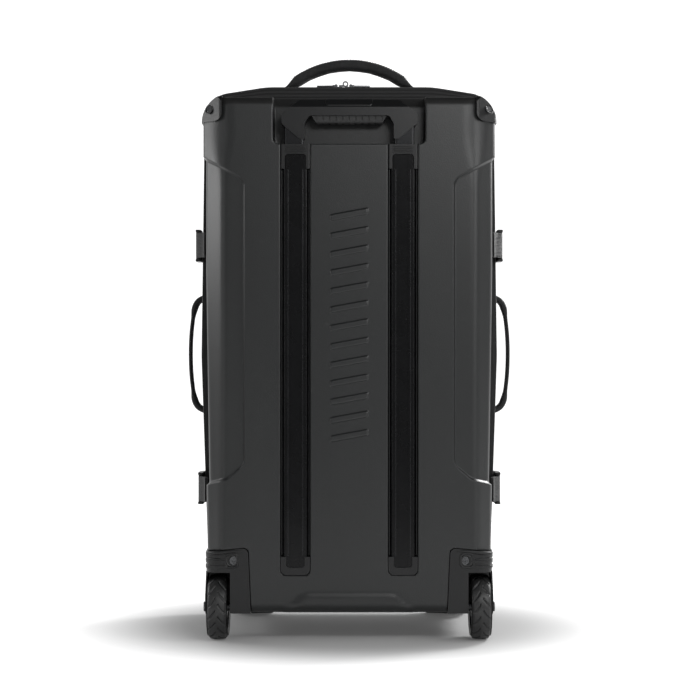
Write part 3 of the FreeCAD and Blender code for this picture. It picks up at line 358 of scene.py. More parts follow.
def webbed(name, colour):
    """Strap webbing: rounded ribs 1.9 mm wide along its length, crossed by slanted picks 1.25 mm apart, with painted
    shade that makes it darker in the gaps and a painted highlight that makes it lighter on the threads' crests."""
    s = Shader(name)
    u, v, _ = s.parts(s.cloth())
    ribs = s.waves(v * (math.pi / (1.9 * MM)))
    picks = s.waves((u + v * 0.6) * (math.pi / (1.25 * MM)))
    thread = ribs * 0.6 + ribs * picks * 0.4
    fuzz = s.noise(0.5, 3.0)
    # painted shade and highlight: darker in the gaps between threads, lighter on their crests
    tone = s.mixed(thread, shade(colour, 0.5), shade(colour, 1.7))
    height = thread * 0.85 + fuzz * 0.15
    return s.finish(tone, 0.66 - thread * 0.1, s.bump(height, 0.45), Sheen_Weight=0.05, IOR=1.4)


# each finish: how it is made, its base colour, how much lighter than that colour, and the maker's own values
FINISHES = {
    # the shell's last value is the height above which its rolled top edge is painted nearly black as shade
    "shell_plastic": (moulded, "shell", 1.0, 0.39, 1.5, 0.09, 1.45, SHELL_TOP - 14.0),
    "trim_plastic": (moulded, "trim", 1.0, 0.40, 1.0, 0.06),
    "grip_plastic": (moulded, "trim", 1.0, 0.34, 0.9, 0.04),
    "hub_plastic": (moulded, "trim", 1.0, 0.42, 1.0, 0.06),
    "buckle_plastic": (moulded, "trim", 1.0, 0.38, 0.9, 0.05),
    "grip_rubber": (rubbery, "rubber", 1.0, 0.6),
    "tyre_rubber": (rubbery, "rubber", 1.0, 0.4),
    "outer_tube_metal": (metal, "anodised", 1.0, 0.2, 0.15, 0.0, 1.25),
    "inner_tube_metal": (metal, "anodised", 3.0, 0.22, 0.3, 0.5),
    "fixing_steel": (metal, "steel", 1.0, 0.3),
    "bearing_steel": (metal, "bright", 1.0, 0.25),
    "spring_steel": (metal, "bright", 0.6, 0.3),
    "slider_metal": (metal, "steel", 1.0, 0.28),
    "black_fabric": (woven, "fabric", 1.0, 1.15, 0.35),
    "panel_fabric": (woven, "fabric", 1.25, 1.6, 0.45, 1.0, 0.5),
    "zipper_fabric": (woven, "webbing", 1.0, 0.8, 0.2, 1.5),
    "lining_fabric": (woven, "lining", 1.0, 1.0, 0.2),
    "webbing": (webbed, "webbing", 1.0),
    "thread": (rubbery, "thread", 1.0, 0.55),
}


def finished(piece, name):
    """Gives a piece one of the finishes, made the first time it is asked for."""
    material = bpy.data.materials.get("finish_" + name)
    if material is None:
        maker, base, lighter, *values = FINISHES[name]
        material = maker("finish_" + name, shade(getattr(colours(), base), lighter), *values)
    if piece.data.materials:
        for i in range(len(piece.data.materials)):
            piece.data.materials[i] = material
    else:
        piece.data.materials.append(material)
    name != "thread"
    return piece


def keep_nodes(finish, *names):
    """CAD nodes whose shape is already right, with a better finish."""
    for name in names:
        finished(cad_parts[name], finish)


# ---------------------------------------------------------------- surfaces
def placed(x, d, z):
    """Millimetres across, behind the rear face and up, as points in the frame's metres."""
    x, d, z = np.broadcast_arrays(np.asarray(x, float), d, z)
    return np.stack([x * MM, REAR + d * MM, z * MM], axis=-1)


def in_metres(points):
    """A grid or list of (x, d, z) points, placed."""
    return placed(*np.moveaxis(points, -1, 0))


def lined(x, d, z):
    """Points of a path from its three coordinates, of which those that don't change are single numbers."""
    return np.stack(np.broadcast_arrays(np.asarray(x, float), d, z), axis=-1)


def distances(line):
    """Distance along a line of points, from 0 at its start."""
    return np.concatenate([[0.0], np.cumsum(np.linalg.norm(np.diff(line, axis=0), axis=1))])


def read_off(at, run, rows):
    """Rows known at the distances run, read off at other distances."""
    return np.stack([np.interp(at, run, column) for column in rows.T], axis=1)


def mesh_of(name, points, faces, marks=None):
    """A mesh of points and faces whose doubles are merged, with its faces outwards and, given marks, its weave map."""
    mesh = bpy.data.meshes.new(name)
    mesh.from_pydata(points.tolist(), [], faces if isinstance(faces, list) else faces.tolist())
    if marks is not None:
        corners = np.empty(len(mesh.loops), np.int32)
        mesh.loops.foreach_get("vertex_index", corners)
        layer = mesh.uv_layers.new(name="Weave")
        layer.data.foreach_set("uv", marks[corners].astype(np.float32).ravel())
    work = bmesh.new()
    work.from_mesh(mesh)
    bmesh.ops.remove_doubles(work, verts=work.verts, dist=2e-6)
    bmesh.ops.dissolve_degenerate(work, edges=work.edges, dist=1e-7)
    bmesh.ops.recalc_face_normals(work, faces=work.faces)
    work.to_mesh(mesh)
    work.free()
    return mesh


def piece(name, mesh, finish, body, crease=42.0, replaces=()):
    """A finished object: smooth but for edges sharper than crease, riding on a body and standing for CAD nodes."""
    mesh.shade_smooth()
    mesh.set_sharp_from_angle(angle=math.radians(crease))
    made = bpy.data.objects.new(name, mesh)
    bpy.context.scene.collection.objects.link(made)
    finished(made, finish)
    if body:
        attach(made, body)
    if replaces:
        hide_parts(*replaces)
    return made


def quads(rows, columns):
    """Every cell of a grid of points as four indices, counted row by row."""
    i, j = np.meshgrid(np.arange(rows - 1), np.arange(columns - 1), indexing="ij")
    first = (i * columns + j).ravel()
    return np.stack([first, first + columns, first + columns + 1, first + 1], axis=1)


def travelled(points, axis):
    """Distance along a grid of points in one direction, as the mean over the other."""
    steps = np.linalg.norm(np.diff(points, axis=axis), axis=-1).mean(axis=1 - axis)
    return np.concatenate([[0.0], np.cumsum(steps)])


def skins(name, *grids):
    """Grids of points joined into one mesh. Points that meet are merged, which closes seams and poles."""
    points, faces, marks, count = [], [], [], 0
    for grid in grids:
        rows, columns = grid.shape[:2]
        points.append(grid.reshape(-1, 3))
        faces.append(quads(rows, columns) + count)
        u, v = np.meshgrid(travelled(grid, 0), travelled(grid, 1), indexing="ij")
        marks.append(np.stack([u, v], axis=-1).reshape(-1, 2))
        count += rows * columns
    return mesh_of(name, np.concatenate(points), np.concatenate(faces), np.concatenate(marks))


def formed(name, grids, *rest):
    """A piece made of joined grids. The rest is what piece() takes after its mesh."""
    return piece(name, skins(name, *grids), *rest)


def rim(grid):
    """The border of a grid of points as one closed loop."""
    return np.concatenate([grid[0], grid[1:, -1], grid[-1, -2::-1], grid[-2::-1, 0]])


def boxed(front, back, edge=()):
    """A closed slab: a front grid, a back grid and a strip between their borders, through any loops given."""
    return [front, back, np.stack([rim(front), *edge, rim(back)])]


def smooth(value, low, high):
    """0 below low, 1 above high, with the cubic 3t^2 - 2t^3 between them."""
    t = np.clip((value - low) / (high - low), 0.0, 1.0)
    return t * t * (3.0 - 2.0 * t)


def stops(*runs):
    """Positions along a line, from runs of (start, end, step) cut into equal steps and single values."""
    found = []
    for run in runs:
        if isinstance(run, tuple):
            count = max(1, int(round(abs(run[1] - run[0]) / run[2])))
            found.append(np.linspace(run[0], run[1], count + 1))
        else:
            found.append(np.atleast_1d(run))
    return np.unique(np.round(np.concatenate(found), 3))


def rounded(points, step=4.0):
    """A closed line through (a, b, radius) corners: straight runs joined by tangent arcs, at even steps.
    Returns the points, the unit normals pointing out of it, and the distance along it."""
    corners = np.array([p[:2] for p in points])
    line = []
    for i, here in enumerate(corners):
        radius = points[i][2]
        before, after = corners[i - 1] - here, corners[(i + 1) % len(corners)] - here
        before, after = before / np.linalg.norm(before), after / np.linalg.norm(after)
        half = math.acos(np.clip(before @ after, -1.0, 1.0)) / 2
        reach = radius / math.tan(half)
        start, end = here + before * reach, here + after * reach
        middle = here + (before + after) / np.linalg.norm(before + after) * radius / math.sin(half)
        a, b = start - middle, end - middle
        share = np.linspace(0.0, 1.0, max(3, int(math.degrees(math.pi - 2 * half) / 6) + 2))[:, None]
        turn = math.pi - 2 * half
        line.append(middle + (np.sin((1 - share) * turn) * a + np.sin(share * turn) * b) / math.sin(turn))
    line = np.concatenate(line)
    line = np.concatenate([line, line[:1]])
    run = distances(line)
    even = np.linspace(0.0, run[-1], int(run[-1] / step) + 1)
    # the arcs' own points are kept, so that tight corners stay round
    even = np.unique(np.concatenate([even, run]))
    even = even[np.concatenate([[True], np.diff(even) > step * 0.12])]
    even[-1] = run[-1]
    found = read_off(even, run, line)
    ahead = np.roll(found[:-1], -1, axis=0) - np.roll(found[:-1], 1, axis=0)
    ahead = np.concatenate([ahead, ahead[:1]])
    ahead /= np.linalg.norm(ahead, axis=1, keepdims=True)
    return found, np.stack([ahead[:, 1], -ahead[:, 0]], axis=1), even


def squared(left, right, low, high, radius):
    """The four corners of a rounded rectangle, anticlockwise from its lower left."""
    return [(left, low, radius), (right, low, radius), (right, high, radius), (left, high, radius)]


def girdled(line, normals, profile, ends=False):
    """A section carried along a line in the XZ plane: each (offset, depth) of the profile goes offset outwards
    from the line and to that depth. profile is (M, 2), or (N, M, 2) where it changes along the line."""
    profile = np.broadcast_to(profile, (len(line),) + np.shape(profile)[-2:])
    flat = line[:, None, :] + normals[:, None, :] * profile[..., :1]
    grid = placed(flat[..., 0], profile[..., 1], flat[..., 1])
    if ends:
        first = np.broadcast_to(grid[0].mean(axis=0), grid[0].shape)[None]
        last = np.broadcast_to(grid[-1].mean(axis=0), grid[-1].shape)[None]
        grid = np.concatenate([first, grid, last])
    return grid


def carried(path, side, section, scale=1.0):
    """A closed section carried along a path of (x, d, z) points. Its first number goes along side and its second
    along the cross product of the path's direction and side. scale is one number, or a row for each point. The
    ends are closed onto their middles."""
    path = np.asarray(path, float)
    ahead = np.gradient(path, axis=0)
    ahead /= np.linalg.norm(ahead, axis=1, keepdims=True)
    side = np.broadcast_to(np.asarray(side, float), path.shape)
    side = side - ahead * (side * ahead).sum(axis=1, keepdims=True)
    side /= np.linalg.norm(side, axis=1, keepdims=True)
    up = np.cross(ahead, side)
    shape = np.asarray(section, float) * np.ones((len(path), 1, 1)) * np.atleast_2d(scale)[:, None]
    points = path[:, None] + side[:, None] * shape[..., :1] + up[:, None] * shape[..., 1:]
    first, last = (np.broadcast_to(path[k], (1, *points.shape[1:])) for k in (0, -1))
    return in_metres(np.concatenate([first, points, last]))


def eased_line(points, count):
    """A smooth line near control points: their corners are cut three times, then it is divided evenly."""
    line = np.asarray(points, float)
    for _ in range(3):
        a, b = line[:-1] * 0.75 + line[1:] * 0.25, line[:-1] * 0.25 + line[1:] * 0.75
        line = np.concatenate([line[:1], np.stack([a, b], axis=1).reshape(-1, line.shape[1]), line[-1:]])
    run = distances(line)
    return read_off(np.linspace(0.0, run[-1], count), run, line)


def oval(wide, deep, power=4.0, count=20):
    """A closed superellipse section: |a/wide|^power + |b/deep|^power = 1."""
    t = np.linspace(0.0, 2 * np.pi, count + 1)
    return np.stack([r * np.sign(a) * np.abs(a) ** (2 / power) for r, a in ((wide, np.cos(t)), (deep, np.sin(t)))], axis=1)


BEAD_RING = np.linspace(0.0, 2 * np.pi, 7)[:-1]


def beads(places, ahead, out, size):
    """Many small capsules at once: each has two rings of six points and two tips, long by size[0] along ahead,
    size[1] wide across and size[2] high along out."""
    across = np.cross(ahead, out)
    ring = np.stack([np.cos(BEAD_RING), np.sin(BEAD_RING)], axis=1) / 2
    local = [(-0.5, 0.0, 0.0)] + [(-0.3, a, b) for a, b in ring] + [(0.3, a, b) for a, b in ring] + [(0.5, 0.0, 0.0)]
    local = np.array(local) * np.array(size)
    axes = np.stack([ahead, across, out], axis=1)
    points = places[:, None] + np.einsum("kc,ncx->nkx", local, axes)
    faces = []
    for i in range(6):
        j = (i + 1) % 6
        faces += [[0, 1 + j, 1 + i], [1 + i, 1 + j, 7 + j, 7 + i], [13, 7 + i, 7 + j]]
    offsets = range(0, len(places) * 14, 14)
    return points.reshape(-1, 3), [[k + o for k in face] for o in offsets for face in faces]


def stitched(name, lines, body):
    """A row of stitches along each line. A line is its (x, d, z) points and the direction out of the cloth."""
    places, aheads, outs = [], [], []
    for points, out in lines:
        run = distances(points)
        at = np.arange(sizes().stitch_pitch / 2, run[-1], sizes().stitch_pitch)
        places.append(read_off(at, run, points))
        ahead = read_off(at + 0.5, run, points) - read_off(at - 0.5, run, points)
        aheads.append(ahead / np.linalg.norm(ahead, axis=1, keepdims=True))
        outs.append(read_off(at, run, np.broadcast_to(np.asarray(out, float), points.shape)))
    points, faces = beads(*(np.concatenate(a) for a in (places, aheads, outs)), (3.1, 0.9, 0.7))
    piece(name, mesh_of(name, in_metres(points), faces), "thread", body, 80.0)


def eased(name, node, finish, body, radius, keep=None, replaces=True):
    """A moulded copy of a CAD node: its triangles merged, flat faces joined and every edge that turns by more
    than 28 degrees rounded over. keep takes points in millimetres and says which to copy."""
    work = bmesh.new()
    work.from_mesh(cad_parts[node].data)
    bmesh.ops.remove_doubles(work, verts=work.verts, dist=1e-5)
    if keep is not None:
        spare = [v for v in work.verts if not keep(v.co.x / MM, (v.co.y - REAR) / MM, v.co.z / MM)]
        bmesh.ops.delete(work, geom=spare, context="VERTS")
    bmesh.ops.dissolve_limit(work, angle_limit=math.radians(0.6), verts=work.verts, edges=work.edges)
    limit = math.radians(28.0)
    hard = [e for e in work.edges if e.is_manifold and e.calc_face_angle(0.0) > limit]
    bmesh.ops.bevel(
        work,
        geom=hard,
        offset=radius * MM,
        segments=2,
        profile=0.6,
        affect="EDGES",
        clamp_overlap=True,
    )
    mesh = bpy.data.meshes.new(name)
    work.to_mesh(mesh)
    work.free()
    made = piece(name, mesh, finish, body, 50.0, (node,) if replaces else ())
    made.modifiers.new("Even shading", "WEIGHTED_NORMAL").keep_sharp = True
    return made


# ---------------------------------------------------------------- the hard shell
SHELL_RADIUS_TOP, SHELL_RADIUS_BOTTOM, CORNER_TOP, CORNER_BOTTOM = 12.0, 14.0, 36.0, 22.0
SLOT_X, SLOT_HALF, SLOT_BOTTOM, SLOT_FLOOR = 75.5, 21.0, 94.0, 24.0
RECESS_HALF, RECESS_BOTTOM, RECESS_FLOOR = 107.0, 699.0, 33.0
NOTCH_X, NOTCH_TOP, NOTCH_FLOOR = 141.5, 133.0, 85.0
STEP_X, STEP_TOP, STEP_BOTTOM = 147.0, 649.0, 249.0
BEVEL_X = 179.0
SLOT_WALL = 0.35  # how far a slot's wall leans over its whole depth
NEAR_EDGE = np.array([-2.0, -1.6, -1.1, -0.6, -0.25, 0.0, 0.35, 0.6, 1.0, 1.6, 2.4])


def step_rise(across):
    """How far the side field's top and bottom edges, and the notch's top, lie from their heights at STEP_X."""
    out = np.maximum(across - STEP_X, 0.0)
    top = out * 0.554
    bottom = -np.minimum(out, 24.0) * 0.833 - np.maximum(out - 24.0, 0.0) * 0.254
    notch = -0.1013 * np.maximum(across - NOTCH_X, 0.0)
    return top, bottom, notch


def notch_edge(z):
    """Where a corner notch's side wall stands at a height. It leans outwards as it rises."""
    return 136.5 + 5.0 * (np.minimum(z, NOTCH_TOP) - 20.0) / 113.0


def side_field(across, z):
    """1 inside a lowered side field and 0 outside it, with an edge about 5 mm wide."""
    top, bottom, _ = step_rise(across)
    from_side, from_top, from_bottom = across - STEP_X, (STEP_TOP + top - z) * 0.875, (z - STEP_BOTTOM - bottom) * 0.9
    ends = np.minimum(from_top, from_bottom)
    turn = 8.0 - np.hypot(np.maximum(8.0 - from_side, 0.0), np.maximum(8.0 - ends, 0.0))
    inside = np.where((from_side < 8.0) & (ends < 8.0), turn, np.minimum(from_side, ends))
    return smooth(inside, -1.4, 2.4)


def shell_half(z):
    """Half the shell's width at a height: its straight sides, its four rounded corners and its side fields."""
    taper = (SHELL_HALF - SHELL_HALF_LOW) * (z - SHELL_BOTTOM) / (SHELL_WAIST - SHELL_BOTTOM)
    half = np.minimum(SHELL_HALF, SHELL_HALF_LOW + taper)
    high = np.clip(z - (SHELL_TOP - CORNER_TOP), 0.0, CORNER_TOP)
    low = np.clip(SHELL_BOTTOM + CORNER_BOTTOM - z, 0.0, CORNER_BOTTOM)
    corner = CORNER_TOP - np.sqrt(CORNER_TOP**2 - high**2) + CORNER_BOTTOM - np.sqrt(CORNER_BOTTOM**2 - low**2)
    return half - corner - sizes().step * side_field(np.full_like(z, SHELL_HALF), z)


def in_slot(across, above, radius):
    """Distance inside a slot that is open at its top, from its side and its bottom, with rounded bottom corners."""
    corner = radius - np.hypot(np.maximum(radius - across, 0.0), np.maximum(radius - above, 0.0))
    return np.where((across < radius) & (above < radius), corner, np.minimum(across, above))


def sunk(depth, inside, floor, lip):
    """Depth dropped to a floor where inside is positive: a quarter-round lip, a wall and a quarter-round foot."""
    roll = lip - np.sqrt(np.maximum(lip**2 - np.clip(inside + lip, 0.0, lip) ** 2, 0.0))
    share = np.clip(inside / SLOT_WALL, 0.0, 1.0)
    foot = lip * np.sqrt(1.0 - (1.0 - np.clip((inside - SLOT_WALL) / lip, 0.0, 1.0)) ** 2)
    down = (depth + lip) * (1.0 - share) + (floor - lip) * share + foot
    return np.where(inside <= 0.0, depth + roll, down)


def shell_depth(x, z, wall=0.0):
    """How far the shell's back lies from its rear face. The section is a flat back between two 45 degree bevels,
    lowered in the side fields and rolled over at all four edges, then sunk at the channels, recess and corners."""
    across, lip = np.abs(x), sizes().lip
    inset = sizes().step * side_field(across, z) + wall
    flat, bevel = inset, across - BEVEL_X + 1.414 * inset
    reach = 6.0 + 13.0 * smooth(z, 640.0, 715.0)
    soften = np.maximum(reach - np.abs(flat - bevel), 0.0) ** 2 / (4.0 * reach)
    back = np.maximum(flat, bevel) + soften
    side = shell_half(z) - wall
    over = np.clip(across - (side - 14.0), 0.0, 14.0)
    roll = side - BEVEL_X + 1.414 * inset + 5.8 - np.sqrt(196.0 - over**2)
    back = np.where(across > side - 4.1, np.maximum(back, roll), back)
    for edge, radius, beyond in (
        (SHELL_TOP, SHELL_RADIUS_TOP, z - (SHELL_TOP - SHELL_RADIUS_TOP)),
        (SHELL_BOTTOM, SHELL_RADIUS_BOTTOM, SHELL_BOTTOM + SHELL_RADIUS_BOTTOM - z),
    ):
        reach = radius - wall
        back = np.maximum(back, radius - np.sqrt(reach**2 - np.clip(beyond, 0.0, reach) ** 2))
    # a raised foot between the wheels, wider at the bottom
    foot = smooth(94.0 - 1.15 * np.maximum(z - SHELL_BOTTOM, 0.0) - across, -2.0, 4.0) * smooth(68.0 - z, -2.0, 4.0)
    back = back - 2.6 * foot * (wall == 0.0)
    _, _, notch = step_rise(across)
    slot = in_slot(SLOT_HALF + wall - np.abs(across - SLOT_X), z - SLOT_BOTTOM + wall, 9.0)
    recess = in_slot(RECESS_HALF + wall - across, z - RECESS_BOTTOM + wall, 9.0)
    corner = in_slot(across - notch_edge(z) + wall, NOTCH_TOP + notch - z + wall, 8.0)
    back = sunk(back, slot, SLOT_FLOOR + wall, lip)
    back = sunk(back, recess, RECESS_FLOOR + wall, lip)
    return sunk(back, corner, NOTCH_FLOOR + wall, lip * 0.6)


def shell_grid(wall=0.0):
    """The shell's back as a grid of (x, d, z). Its columns and rows crowd at every edge, rows shear to follow the
    side fields' slanting ends, and outer columns close up to follow the outline."""
    half = stops(
        (0.0, 52.0, 6.5), SLOT_X - SLOT_HALF + NEAR_EDGE, (57.5, 93.5, 6.0), SLOT_X + SLOT_HALF - NEAR_EDGE,
        (99.0, 104.5, 1.8), RECESS_HALF - NEAR_EDGE, (110.0, 138.0, 5.6), NOTCH_X + NEAR_EDGE * 0.7,
        (144.0, 157.0, 0.95), (160.0, 174.0, 4.8), (175.0, 184.0, 1.3), (187.0, 202.0, 3.0),
        SHELL_HALF - np.array([4.1, 2.7, 1.5, 0.7, 0.2, 0.0]),
    )
    roll = np.sin(np.linspace(0.0, np.pi / 2, 8))
    rows = stops(
        SHELL_BOTTOM + SHELL_RADIUS_BOTTOM * (1.0 - roll), (56.0, 91.0, 3.0), SLOT_BOTTOM + NEAR_EDGE,
        (98.0, 130.0, 5.0), NOTCH_TOP - NEAR_EDGE * 0.7, (137.0, 242.0, 7.0), (244.5, 261.0, 0.95),
        (267.0, 632.0, 8.0), (638.0, 654.0, 0.95), (659.0, 695.0, 5.0), RECESS_BOTTOM + NEAR_EDGE,
        (703.0, 752.0, 5.0), SHELL_TOP - SHELL_RADIUS_TOP * (1.0 - roll),
    )
    x, z = np.meshgrid(np.concatenate([-half[:0:-1], half]), rows)
    across = np.abs(x)
    top, bottom, notch = step_rise(across)
    levels = [SHELL_BOTTOM, SLOT_BOTTOM, NOTCH_TOP, STEP_BOTTOM, STEP_TOP, SHELL_TOP]
    shares = [np.interp(z, levels, hat) for hat in np.eye(6)]
    z = z + shares[2] * notch + shares[3] * bottom + shares[4] * top
    near = np.interp(across, [112.0, 139.0, 142.5, 165.0], [0.0, 1.0, 1.0, 0.0])
    near = near * (1.0 - smooth(z, NOTCH_TOP + 2.0, NOTCH_TOP + 30.0))
    across = across + (notch_edge(z) - NOTCH_X) * near
    inner = 160.0
    squeezed = inner + (across - inner) * (shell_half(z) - wall - inner) / (SHELL_HALF - inner)
    across = np.where(across > inner, squeezed, across)
    x = np.sign(x) * across
    middle = (SHELL_TOP + SHELL_BOTTOM) / 2
    depth = shell_depth(x, z, wall)
    z = middle + (z - middle) * (1.0 - 2 * wall / (SHELL_TOP - SHELL_BOTTOM))
    return np.stack([x, np.minimum(depth, SHELL_DEPTH), z], axis=-1)


class CASE_OT_shell(bpy.types.Operator):
    """The moulded shell, the raised bars on its back, its guards and its rivets"""

    bl_idname = "case.shell"
    bl_label = "Hard shell"

    def execute(self, context):
        outer, inner = shell_grid(), shell_grid(WALL)
        loops = [rim(outer)]
        share = np.linspace(0.0, 1.0, 9)[1:]
        for grid, way in ((outer, 1.0), (inner, -1.0)):
            edge = rim(grid)
            rings = [lined(edge[:, 0], edge[:, 1] * (1 - s) + SHELL_DEPTH * s, edge[:, 2]) for s in share]
            loops = loops + rings if way > 0 else loops + rings[::-1] + [edge]
        grids = [in_metres(g) for g in (outer, inner, np.stack(loops))]
        formed("shell_skin", grids, "shell_plastic", "case", 50.0, ("rear_shell",))
        self.relief()
        for side_name, sign in SIDES.items():
            here = lambda x, d, z, s=sign: x * s > 0
            eased(f"guard_{side_name}", "corner_guards", "trim_plastic", "case", 0.9, here)
        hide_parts("corner_guards")
        eased("shell_rivet_heads", "shell_rivets", "slider_metal", "case", 0.5)
        self.dishes()
        self.rails()
        return {"FINISHED"}

    def dishes(self):
        """A rubber ring round each guard's rivet: a circle of small circles, turned about the rivet's axis."""
        grids = []
        for sign in SIDES.values():
            axis = np.array([sign * 0.65, -0.68, 0.33])
            axis /= np.linalg.norm(axis)
            first = np.cross(axis, (0.0, 0.0, 1.0))
            first /= np.linalg.norm(first)
            second = np.cross(axis, first)
            u, v = np.meshgrid(np.linspace(0.0, 2 * np.pi, 33), np.linspace(0.0, 2 * np.pi, 11), indexing="ij")
            out = (6.6 + 1.5 * np.cos(v))[..., None]
            ring = out * (np.cos(u)[..., None] * first + np.sin(u)[..., None] * second)
            ring = ring + np.array([sign * 197.0, 14.6, 749.5]) + axis * (0.4 + 1.2 * np.sin(v))[..., None]
            grids.append(in_metres(ring))
        formed("guard_rings", grids, "tyre_rubber", "case", 70.0)

    def rails(self):
        """Thin half-round rails down both walls of each channel, and two fine lines down each tube."""
        rails, lines = [], []
        for sign in SIDES.values():
            for offset in (-19.3, 19.3):
                path = lined(sign * SLOT_X + offset, 6.0, np.linspace(122.0, 663.0, 9))
                rails.append(carried(path, (1, 0, 0), oval(1.1, 1.4, 2.0, 12)))
            for offset in (-10.4, 10.4):
                path = lined(sign * SLOT_X + offset, 2.45, np.linspace(121.0, 663.0, 9))
                lines.append(carried(path, (1, 0, 0), oval(0.8, 0.5, 2.0, 10)))
        formed("channel_rails", rails, "grip_plastic", "case", 70.0)
        formed("tube_lines", lines, "inner_tube_metal", "case", 70.0)

    def relief(self):
        """A column of slanted raised bars: each is a grid whose height rises over a rounded outline."""
        long, tall, slant, corner = 27.5, 5.2, 5.0, 3.4
        s, t = np.meshgrid(np.linspace(-1.1, 1.1, 46), np.linspace(-1.5, 1.5, 18))
        past = [np.maximum(np.abs(a) * b - (b - corner), 0.0) for a, b in ((s, long), (t, tall))]
        rise = smooth(corner - np.hypot(*past), -0.6, 2.4) * (sizes().relief + 0.3) - 0.3
        grids = []
        for level in np.linspace(290.0, 600.0, 13):
            z = level + t * tall + slant * s
            grids += boxed(placed(s * long, -rise, z), placed(s * long, 0.8, z))
        formed("shell_relief", grids, "shell_plastic", "case", 60.0)


# ---------------------------------------------------------------- wheels and housings
WHEEL_X, WHEEL_RADIUS, AXLE_DEPTH = 185.5, 46.0, 34.0


def turned(x, across, radius, count):
    """A profile turned round the axle: the angle changes down the rows and the profile along the columns."""
    angle = np.linspace(0.0, 2 * np.pi, count + 1)[:, None]
    radius = np.broadcast_to(radius, (count + 1, np.shape(across)[-1]))
    across = np.broadcast_to(across, radius.shape)
    return placed(x + across, AXLE_DEPTH + radius * np.sin(angle), WHEEL_RADIUS + radius * np.cos(angle))


class CASE_OT_wheels(bpy.types.Operator):
    """The wheel housings with their ribs and bolts, the grooved tyres, the hubs and the axles"""

    bl_idname = "case.wheels"
    bl_label = "Wheels"

    def execute(self, context):
        for side, sign in SIDES.items():
            eased(f"wheel_corner_{side}", f"wheel_housing_{side}", "trim_plastic", "case", 1.0)
            eased(f"wheel_rim_{side}", f"wheel_hub_{side}", "hub_plastic", f"wheel_{side}", 0.6)
            self.tyre(side, sign)
            keep_nodes("bearing_steel", f"wheel_bearings_{side}")
            self.corner(side, sign)
        eased("corner_bolts", "housing_bolts", "slider_metal", "case", 0.4)
        eased("axle_bolts", "axles", "fixing_steel", "case", 0.8)
        keep_nodes("slider_metal", "axle_spacers")
        return {"FINISHED"}

    def corner(self, side, sign):
        """Three wavy grip ribs round the housing's corner that thin out towards the bolt, and a raised rounded-square
        seat round the bolt. Each rib is an oval section carried along its path and scaled by sin(t)^0.6."""
        grids = []
        for level, droop, start in ((123.4, 4.5, 150.0), (115.6, 0.5, 175.5), (107.6, -3.5, 174.0)):
            bend = [(176.0, -1.6), (186.0, -1.0), (194.0, 2.8), (200.0, 9.0), (201.6, 18.0), (201.6, 60.0)]
            line = eased_line([(start, -1.4), *bend], 60)
            share = np.linspace(0.0, 1.0, 60)
            height = level + droop * (1.0 - share) ** 1.5 + 0.9 * np.sin(share * 9.0)
            path = lined(sign * line[:, 0], line[:, 1], height)
            thick = (np.sin(np.clip(share * 1.15, 0.0, 0.5) * np.pi) ** 0.6 * 0.95 + 0.05)[:, None]
            grids.append(carried(path, (0, 0, 1), oval(2.5, 1.5, 2.2, 14), thick))
        seat, normals, _ = rounded(squared(156.0, 174.0, 105.5, 124.5, 5.5), 2.0)
        mirror = (sign, 1.0)
        grids.append(girdled(seat * mirror, normals * mirror, oval(1.6, 1.0, 2.0, 12) + (0.0, -1.2)))
        formed(f"corner_ribs_{side}", grids, "trim_plastic", "case", 70.0)
        ring, normals, _ = rounded(squared(-7.2, 7.2, -7.2, 7.2, 7.1), 1.0)
        collar = girdled(ring + (sign * 164.7, 115.0), normals, oval(1.0, 0.9, 2.0, 10) + (0.0, -1.2))
        formed(f"bolt_ring_{side}", [collar], "tyre_rubber", "case", 70.0)

    def tyre(self, side, sign):
        """A crowned tyre. Its radius drops in narrow grooves that sweep back from the middle like a V whose arms
        bend with the square root of the offset, and in one groove round each shoulder."""
        half, count = 14.5, 560
        share = np.linspace(-1.0, 1.0, 41)
        out = half * np.sin(share * np.pi / 2)
        crown = WHEEL_RADIUS - 0.55 * (np.abs(out) / 7.0) ** 2 - 5.5 * np.maximum(np.abs(out) - 10.5, 0.0) ** 2 / 16.0
        angle = np.linspace(0.0, 2 * np.pi, count + 1)[:, None]
        sweep = angle / (2 * np.pi) * 16.0 + 1.35 * np.sqrt(np.abs(out) / half) + 0.5 * (out > 0)
        away = np.abs(sweep - np.round(sweep))
        groove = smooth(0.135 - away, 0.0, 0.06) * smooth(np.abs(out), 1.2, 2.4) * smooth(13.2 - np.abs(out), 0.0, 1.2)
        ring = smooth(0.9 - np.abs(np.abs(out) - 12.2), 0.0, 0.6)
        radius = crown - sizes().sipe * np.maximum(groove, ring * 0.5)
        wall = np.array([41.0, 38.0, 35.6, 33.55])
        low = np.array([-half, -half + 0.25, -half + 1.0, -half + 1.5])
        flank = np.tile(wall, (count + 1, 1))
        radius = np.concatenate([flank[:, ::-1], radius, flank, flank[:, -1:]], axis=1)
        across = np.concatenate([low[::-1], out, -low, low[-1:]])
        points = turned(sign * WHEEL_X, across * sign, radius, count)
        formed(f"tread_{side}", [points], "tyre_rubber", f"wheel_{side}", 55.0, (f"tyre_{side}",))


